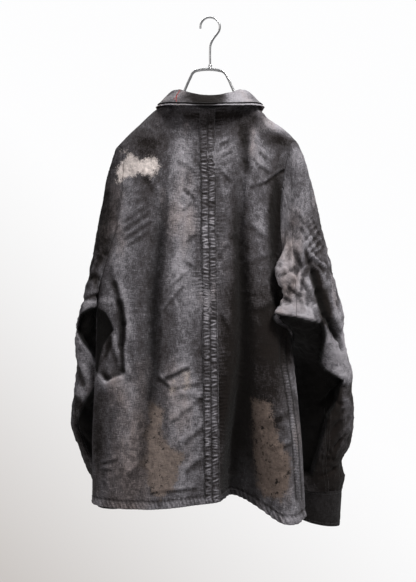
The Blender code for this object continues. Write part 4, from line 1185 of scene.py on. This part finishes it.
def set_bump(tree, surface, height, strength, distance):
    """Relief too fine for the mesh."""
    bump = node(tree, "ShaderNodeBump", Strength=strength, Distance=distance)
    tree.links.new(height, bump.inputs["Height"])
    tree.links.new(bump.outputs["Normal"], surface.inputs["Normal"])


def cloth_material(name):
    """Worn chambray: dark warp, paler weft, faded ridges, brown stains, rubbed-out places, painted light and
    shade.
    """
    material, tree, surface = new_material(name)
    where = where_on(tree)
    weave = node(tree, "ShaderNodeUVMap", uv_map="weave").outputs["UV"]
    worn_with_painted_light, bleach, pale, painted_shade = (node(tree, "ShaderNodeAttribute", attribute_name=field).outputs["Fac"]
                                for field in ("worn_with_painted_light", "bleach", "pale", "painted_shade"))
    warp = noise_at(tree, weave, 1.0, 2.0, 0.6, (1000.0, 80.0, 1.0))
    weft = noise_at(tree, weave, 1.0, 2.0, 0.6, (80.0, 900.0, 1.0))
    grain = noise_at(tree, where, 420.0, 4.0, 0.65)
    rumple = noise_at(tree, where, 120.0, 4.0, 0.65)
    clouds = noise_at(tree, where, 18.0, 5.0, 0.6)
    threads = math_node(tree, "ADD", warp, weft)
    # The wear field carries fading and also painted light and shade into the tone
    tone = add_weighted(tree, 0.425, ((worn_with_painted_light, 0.90, 0.5), (clouds, 0.30, 0.5), (rumple, 0.45, 0.5),
                                     (grain, 0.65, 0.5), (threads, 0.75, 1.0)))
    colour = dyed(tree, tone, where)
    ragged = add_weighted(tree, 0.0, ((noise_at(tree, where, 140.0, 6.0, 0.75), 0.50, 0.5),
                                      (grain, 0.45, 0.5),
                                      (noise_at(tree, where, 45.0, 3.0, 0.6), 0.35, 0.5)))
    edge = math_node(tree, "ADD", bleach, ragged)
    inside = ramp(tree, math_node(tree, "ADD", edge, 0.5), ((0.46, 0.0), (0.62, 1.0)))
    mottle = add_weighted(tree, 0.5, ((rumple, 1.3, 0.5), (clouds, 0.9, 0.5), (threads, 0.6, 1.0)))
    colour = mix_colour(tree, inside, colour, bared(tree, pale, mottle, where))
    # Painted shade: folds, creases, hollows and other shaded places are darkened towards near black
    colour = mix_colour(tree, painted_shade, colour, PAINTED_SHADE_COLOUR)
    tree.links.new(colour, surface.inputs["Base Color"])
    set_rough(tree, surface, grain, 0.78, 0.97)
    surface.inputs["Specular IOR Level"].default_value = 0.10
    surface.inputs["Sheen Weight"].default_value = 0.03
    surface.inputs["Sheen Roughness"].default_value = 0.5
    height = math_node(tree, "ADD", math_node(tree, "MULTIPLY", threads, 0.5),
                       math_node(tree, "MULTIPLY", rumple, 1.3))
    set_bump(tree, surface, height, 0.8, 0.0022)
    return material


def dyed(tree, tone, where):
    """Colour of the dyed cloth from its tone, browned where it is dark or stained."""
    colour = mix_colour(tree, ramp(tree, tone, ((0.0, 0.0), (0.5, 1.0))), DARK_DYE, MIDDLE_DYE)
    colour = mix_colour(tree, ramp(tree, tone, ((0.5, 0.0), (1.0, 1.0))), colour, FADED_DYE)
    stain = ramp(tree, noise_at(tree, where, 9.0, 4.0, 0.6, (1.0, 1.0, 0.45)), ((0.50, 0.0), (0.66, 0.7)))
    browned = math_node(tree, "MAXIMUM", stain, math_node(tree, "SUBTRACT", 0.62, tone))
    return mix_colour(tree, browned, colour, mix_colour(tree, 1.0, colour, BROWN_TINT, "MULTIPLY"))


def bared(tree, pale, mottle, where):
    """Colour of the pale places: clean cotton where they are strong, soiled, specked and partly painted
    shade where not.
    """
    specks = ramp(tree, noise_at(tree, where, 105.0, 4.0, 0.7), ((0.36, 0.10), (0.44, 1.0)))
    mottled = ramp(tree, mottle, ((0.2, 0.50), (0.8, 1.0)))
    cotton = mix_colour(tree, 1.0, mix_colour(tree, pale, SOILED_AND_SHADED_COTTON, BARE_COTTON), mottled, "MULTIPLY")
    spotted = math_node(tree, "MULTIPLY", math_node(tree, "SUBTRACT", 1.0, pale), 1.4)
    return mix_colour(tree, spotted, cotton, mix_colour(tree, 1.0, cotton, specks, "MULTIPLY"))


def thread_material(name, colour):
    """Twisted sewing thread."""
    material, tree, surface = new_material(name)
    twist = noise_at(tree, where_on(tree), 900.0, 2.0)
    shade = ramp(tree, twist, ((0.3, 0.55), (0.7, 1.0)))
    tree.links.new(mix_colour(tree, 1.0, colour, shade, "MULTIPLY"), surface.inputs["Base Color"])
    surface.inputs["Roughness"].default_value = 0.85
    set_bump(tree, surface, twist, 0.5, 0.0002)
    return material


def chrome_material():
    """Plated wire with faint draw marks and a dull bloom."""
    material, tree, surface = new_material("plated_wire")
    where = where_on(tree)
    bloom = noise_at(tree, where, 60.0, 4.0)
    set_rough(tree, surface, bloom, 0.12, 0.30)
    tree.links.new(ramp(tree, bloom, ((0.35, 0.55), (0.65, 0.68))), surface.inputs["Base Color"])
    surface.inputs["Metallic"].default_value = 1.0
    set_bump(tree, surface, noise_at(tree, where, 700.0, 2.0), 0.12, 0.0002)
    return material


def button_material():
    """Cloudy brown shell."""
    material, tree, surface = new_material("turned_shell")
    where = where_on(tree)
    cloudy = ramp(tree, noise_at(tree, where, 160.0, 4.0), ((0.35, 0.0), (0.65, 1.0)))
    tree.links.new(mix_colour(tree, cloudy, DARK_SHELL, PALE_SHELL), surface.inputs["Base Color"])
    surface.inputs["Roughness"].default_value = 0.38
    set_bump(tree, surface, noise_at(tree, where, 500.0, 2.0), 0.2, 0.0002)
    return material


# Hanger

def make_wire(name, node_name, path, radius, cyclic, material):
    """Round wire along a smooth path."""
    curve = bpy.data.curves.new(name, "CURVE")
    curve.dimensions = "3D"
    curve.bevel_depth = radius
    curve.bevel_resolution = 5
    curve.resolution_u = 6
    curve.use_fill_caps = not cyclic
    spline = curve.splines.new("BEZIER")
    spline.bezier_points.add(len(path) - 1)
    for point, place in zip(spline.bezier_points, path):
        point.co = place
        point.handle_left_type = point.handle_right_type = "AUTO"
    spline.use_cyclic_u = cyclic
    curve.materials.append(material)
    wire = bpy.data.objects.new(name, curve)
    bpy.context.scene.collection.objects.link(wire)
    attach(wire, "root")
    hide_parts(node_name)


def hook_path():
    """From the tip over the crown, down the far side and into the straight neck."""
    centre_z = HOOK_RADIUS - HOOK_LOOP
    points = []
    for degrees in np.linspace(188, -40, 16):
        angle = math.radians(degrees)
        points.append((HOOK_LOOP * math.cos(angle), 0.0, centre_z + HOOK_LOOP * math.sin(angle)))
    points += [(0.0065, 0.0, -0.0385), (0.0030, 0.0, -0.0450), (0.0006, 0.0, -0.0520), (0.0, 0.0, -0.0600),
               (0.0, 0.0, -0.0885)]
    return points


def under_ridge(side, y):
    """Where a wire run carries the shoulder: just under the cloth at a share of its width."""
    beside = side + np.array([-0.01, 0.0, 0.01])
    x, _, z = top_edge(beside, y > 0)
    slope = math.atan2(z[2] - z[0], x[2] - x[0])
    depth = abs(float(section(side, z[1], y > 0)[1]))
    turned = min((abs(y) + WIRE_RADIUS) / depth, 0.95)
    drop = RIDGE_ROLL * (z[1] - ARMPIT_Z) * (1 - math.sqrt(1 - turned ** 2))
    below = (SOLID_CLOTH + WIRE_RADIUS + SEAT_GAP) / math.cos(slope)
    return (float(x[1]), y, float(z[1]) - drop - below)


def shoulder_wire(y):
    """One run of the hanger's wire from the left end to the right end."""
    near = math.copysign(NECK_WIRE_APART, y)
    neck = [(-0.077, y, -0.1700), (-0.062, y, -0.1600), (-0.053, y, -0.1485), (-0.047, y * 0.9, -0.1340),
            (-0.037, y * 0.8, -0.1120), (-0.032, near, -0.1030), (-0.026, near, -0.0995),
            (0.020, near, -0.0995), (0.027, near, -0.1030), (0.033, y * 0.8, -0.1120),
            (0.043, y * 0.9, -0.1340), (0.051, y, -0.1495), (0.061, y, -0.1610), (0.077, y, -0.1715)]
    shares = (0.51, 0.60, 0.69, 0.78, 0.87)
    left = [under_ridge(-share, y) for share in shares[::-1]]
    return left + neck + [under_ridge(share, y) for share in shares]


def wire_end(start, finish):
    """The turn at the hanger's end, from one run round to the other."""
    sign = math.copysign(1, start[0])
    low = min(start[2], finish[2])
    beside = 0.0050
    return [(start[0] + sign * beside, start[1] * 0.7, low - beside),
            (start[0] + sign * WIRE_END_REACH, 0.0, low - WIRE_END_REACH),
            (start[0] + sign * beside, finish[1] * 0.7, low - beside)]


def make_hanger(chrome):
    """Shoulder wires, hook and ferrule."""
    back = shoulder_wire(-WIRE_APART)
    front = shoulder_wire(WIRE_APART)[::-1]
    path = back + wire_end(back[-1], front[0]) + front + wire_end(front[-1], back[0])
    make_wire("hanger_frame_wire", "hanger_frame", path, WIRE_RADIUS, True, chrome)
    make_wire("hanger_hook_wire", "hanger_hook", hook_path(), HOOK_RADIUS, False, chrome)
    ferrule = turned(FERRULE_PROFILE, 32)
    bmesh.ops.translate(ferrule, vec=(0, 0, FERRULE_Z), verts=ferrule.verts)
    name = "hanger_ferrule_turned"
    add_piece(name, finished_mesh(name, ferrule), chrome, "hanger_ferrule")


def make_buttons(strip, outward, shell):
    """Five round buttons with a raised rim and four holes, each set on the placket."""
    rising = np.argsort(strip[:, 2])
    for number, height in enumerate(BUTTON_HEIGHTS, start=1):
        centre = between(height, strip[rising, 2], strip[rising])
        facing = unit(between(height, strip[rising, 2], outward[rising]))
        button = turned(BUTTON_PROFILE, 40)
        for turn in range(4):
            angle = math.pi / 4 + turn * math.pi / 2
            place = (BUTTON_HOLE_OUT * math.cos(angle), BUTTON_HOLE_OUT * math.sin(angle), 0.0011)
            hole = Matrix.Translation(place)
            bmesh.ops.create_cone(button, cap_ends=True, segments=12, radius1=0.0009, radius2=0.0006,
                                  depth=0.0008, matrix=hole)
        turn_out = Vector(facing).to_track_quat("Z", "Y").to_matrix().to_4x4()
        stand = Matrix.Translation(Vector(centre + facing * 0.0006)) @ turn_out
        bmesh.ops.transform(button, matrix=stand, verts=button.verts)
        name = f"button_{number}_turned"
        add_piece(name, finished_mesh(name, button), shell, f"front_button_{number}")


# Camera, lights and floor

def make_camera():
    """Camera level with the middle of the garment, square to its back."""
    lens = bpy.data.cameras.new("camera")
    lens.sensor_fit = "VERTICAL"
    lens.sensor_height = 24.0
    lens.lens = 24.0 * CAMERA_BACK / (FRAME_PIXELS[1] * PIXEL)
    camera = bpy.data.objects.new("camera", lens)
    camera.location = (CAMERA_X, -CAMERA_BACK, CAMERA_Z)
    camera.rotation_euler = (math.radians(90), 0, 0)
    bpy.context.scene.collection.objects.link(camera)
    bpy.context.scene.camera = camera


def make_light(name, place, size, power, colour=(1, 1, 1)):
    """Square soft light turned to the garment."""
    lamp = bpy.data.lights.new(name, "AREA")
    lamp.shape = "RECTANGLE"
    lamp.size = size
    lamp.size_y = size
    lamp.energy = power
    lamp.color = colour
    light = bpy.data.objects.new(name, lamp)
    light.location = place
    light.rotation_euler = (Vector((0, 0, -0.5)) - Vector(place)).to_track_quat("-Z", "Y").to_euler()
    bpy.context.scene.collection.objects.link(light)


def make_backdrop():
    """White paper for the camera, shaded towards its lower left, and a dimmer room for the light."""
    world = bpy.data.worlds.new("studio")
    bpy.context.scene.world = world
    world.use_nodes = True
    tree = world.node_tree
    paper = tree.nodes["Background"]
    ahead = node(tree, "ShaderNodeSeparateXYZ")
    tree.links.new(tree.nodes.new("ShaderNodeTexCoord").outputs["Generated"], ahead.inputs[0])
    lower_left = math_node(tree, "SUBTRACT", math_node(tree, "MULTIPLY", ahead.outputs[0], -1.9),
                           math_node(tree, "MULTIPLY", ahead.outputs[2], 2.1))
    lower_left = math_node(tree, "MINIMUM", math_node(tree, "MAXIMUM", lower_left, 0.0), 1.0)
    shaded = math_node(tree, "POWER", lower_left, 1.5)
    tree.links.new(mix_colour(tree, shaded, PAPER, SHADED_PAPER), paper.inputs["Color"])
    room = node(tree, "ShaderNodeBackground", Strength=0.26)
    room.inputs["Color"].default_value = (0.97, 0.97, 1.0, 1)
    mixed = tree.nodes.new("ShaderNodeMixShader")
    tree.links.new(tree.nodes.new("ShaderNodeLightPath").outputs["Is Camera Ray"], mixed.inputs[0])
    tree.links.new(room.outputs[0], mixed.inputs[1])
    tree.links.new(paper.outputs[0], mixed.inputs[2])
    tree.links.new(mixed.outputs[0], tree.nodes["World Output"].inputs["Surface"])
    bpy.context.scene.view_settings.view_transform = "Standard"


def make_lights():
    """A key from above on the right, a weak fill, and one for the hidden front."""
    make_light("key", (1.2, -1.25, 1.7), 0.9, 108)
    make_light("fill", (-1.6, -1.9, 0.3), 1.4, 10, (1.0, 0.97, 0.95))
    make_light("front", (-0.4, 2.2, 1.7), 1.3, 50)


def make_floor():
    """Plain pale floor, well below the hem."""
    material, tree, surface = new_material("floor_paint")
    shade = ramp(tree, noise_at(tree, where_on(tree), 0.7, 2.0), ((0.3, 0.80), (0.7, 0.84)))
    tree.links.new(shade, surface.inputs["Base Color"])
    surface.inputs["Roughness"].default_value = 0.9
    mesh = bpy.data.meshes.new("floor")
    bm = bmesh.new()
    bmesh.ops.create_circle(bm, cap_ends=True, segments=96, radius=FLOOR_RADIUS)
    bm.to_mesh(mesh)
    bm.free()
    mesh.materials.append(material)
    floor = bpy.data.objects.new("floor", mesh)
    floor.location = (0, 0, FLOOR_Z)
    bpy.context.scene.collection.objects.link(floor)


def main():
    """Build the studio, then every piece of the garment and its hanger."""
    make_camera()
    make_backdrop()
    make_lights()
    make_floor()
    cloth = cloth_material("faded_chambray")
    thread = thread_material("dark_thread", THREAD_GREY)
    red = thread_material("red_thread", THREAD_RED)
    chrome = chrome_material()
    sewn = []
    for name, node_name, sign, front in (("back_left_cloth", "back_left", -1, False),
                                         ("back_right_cloth", "back_right", 1, False),
                                         ("front_left_cloth", "front_left", -1, True),
                                         ("front_right_cloth", "front_right", 1, True)):
        sewn += make_panel(name, node_name, sign, front, cloth)
    sewn += make_sleeve("sleeve_left", -1, LEFT_RINGS, LEFT_SHAPE, LEFT_SLEEVE_CREASES, LEFT_HOLLOWS, (),
                        LEFT_SLEEVE_FADES_AND_SHADING, cloth)
    sewn += make_sleeve("sleeve_right", 1, RIGHT_RINGS, RIGHT_SHAPE, RIGHT_SLEEVE_CREASES, RIGHT_HOLLOWS,
                        RIGHT_SLEEVE_LADDERS, RIGHT_SLEEVE_FADES_AND_SHADING, cloth)
    for name, node_name, sign, cuff in (("cuff_left_cloth", "cuff_left", -1, LEFT_CUFF),
                                        ("cuff_right_cloth", "cuff_right", 1, RIGHT_CUFF)):
        points, outward = make_cuff(name, node_name, sign, cuff, cloth)
        sewn += [(points[row], outward[row]) for row in (2, CUFF_ROWS - 3)]
    make_stand(cloth)
    fall, outward = make_fall("collar_fall_cloth", "collar_fall", 0.90, 0.0, cloth)
    make_fall("collar_under_cloth", None, 1.0, -0.0016, cloth)
    sewn.append((fall[2], outward[2]))
    stitches = {"back_left_cloth": [make_stitches("hem_and_seam_stitches", sewn, thread)],
                "collar_fall_cloth": [make_stitches("red_mending_stitches", red_lines(fall, outward), red,
                                                    RED_PITCH, RED_LONG, RED_THICK)]}
    band_rows = make_band(cloth)
    stitches["centre_seam_band"] = [make_stitches("centre_seam_stitches", band_rows, thread)]
    placket_rows, line, facing = make_placket(cloth)
    stitches["front_placket_cloth"] = [make_stitches("placket_stitches", placket_rows, thread)]
    make_buttons(line, facing, button_material())
    make_hanger(chrome)


main()
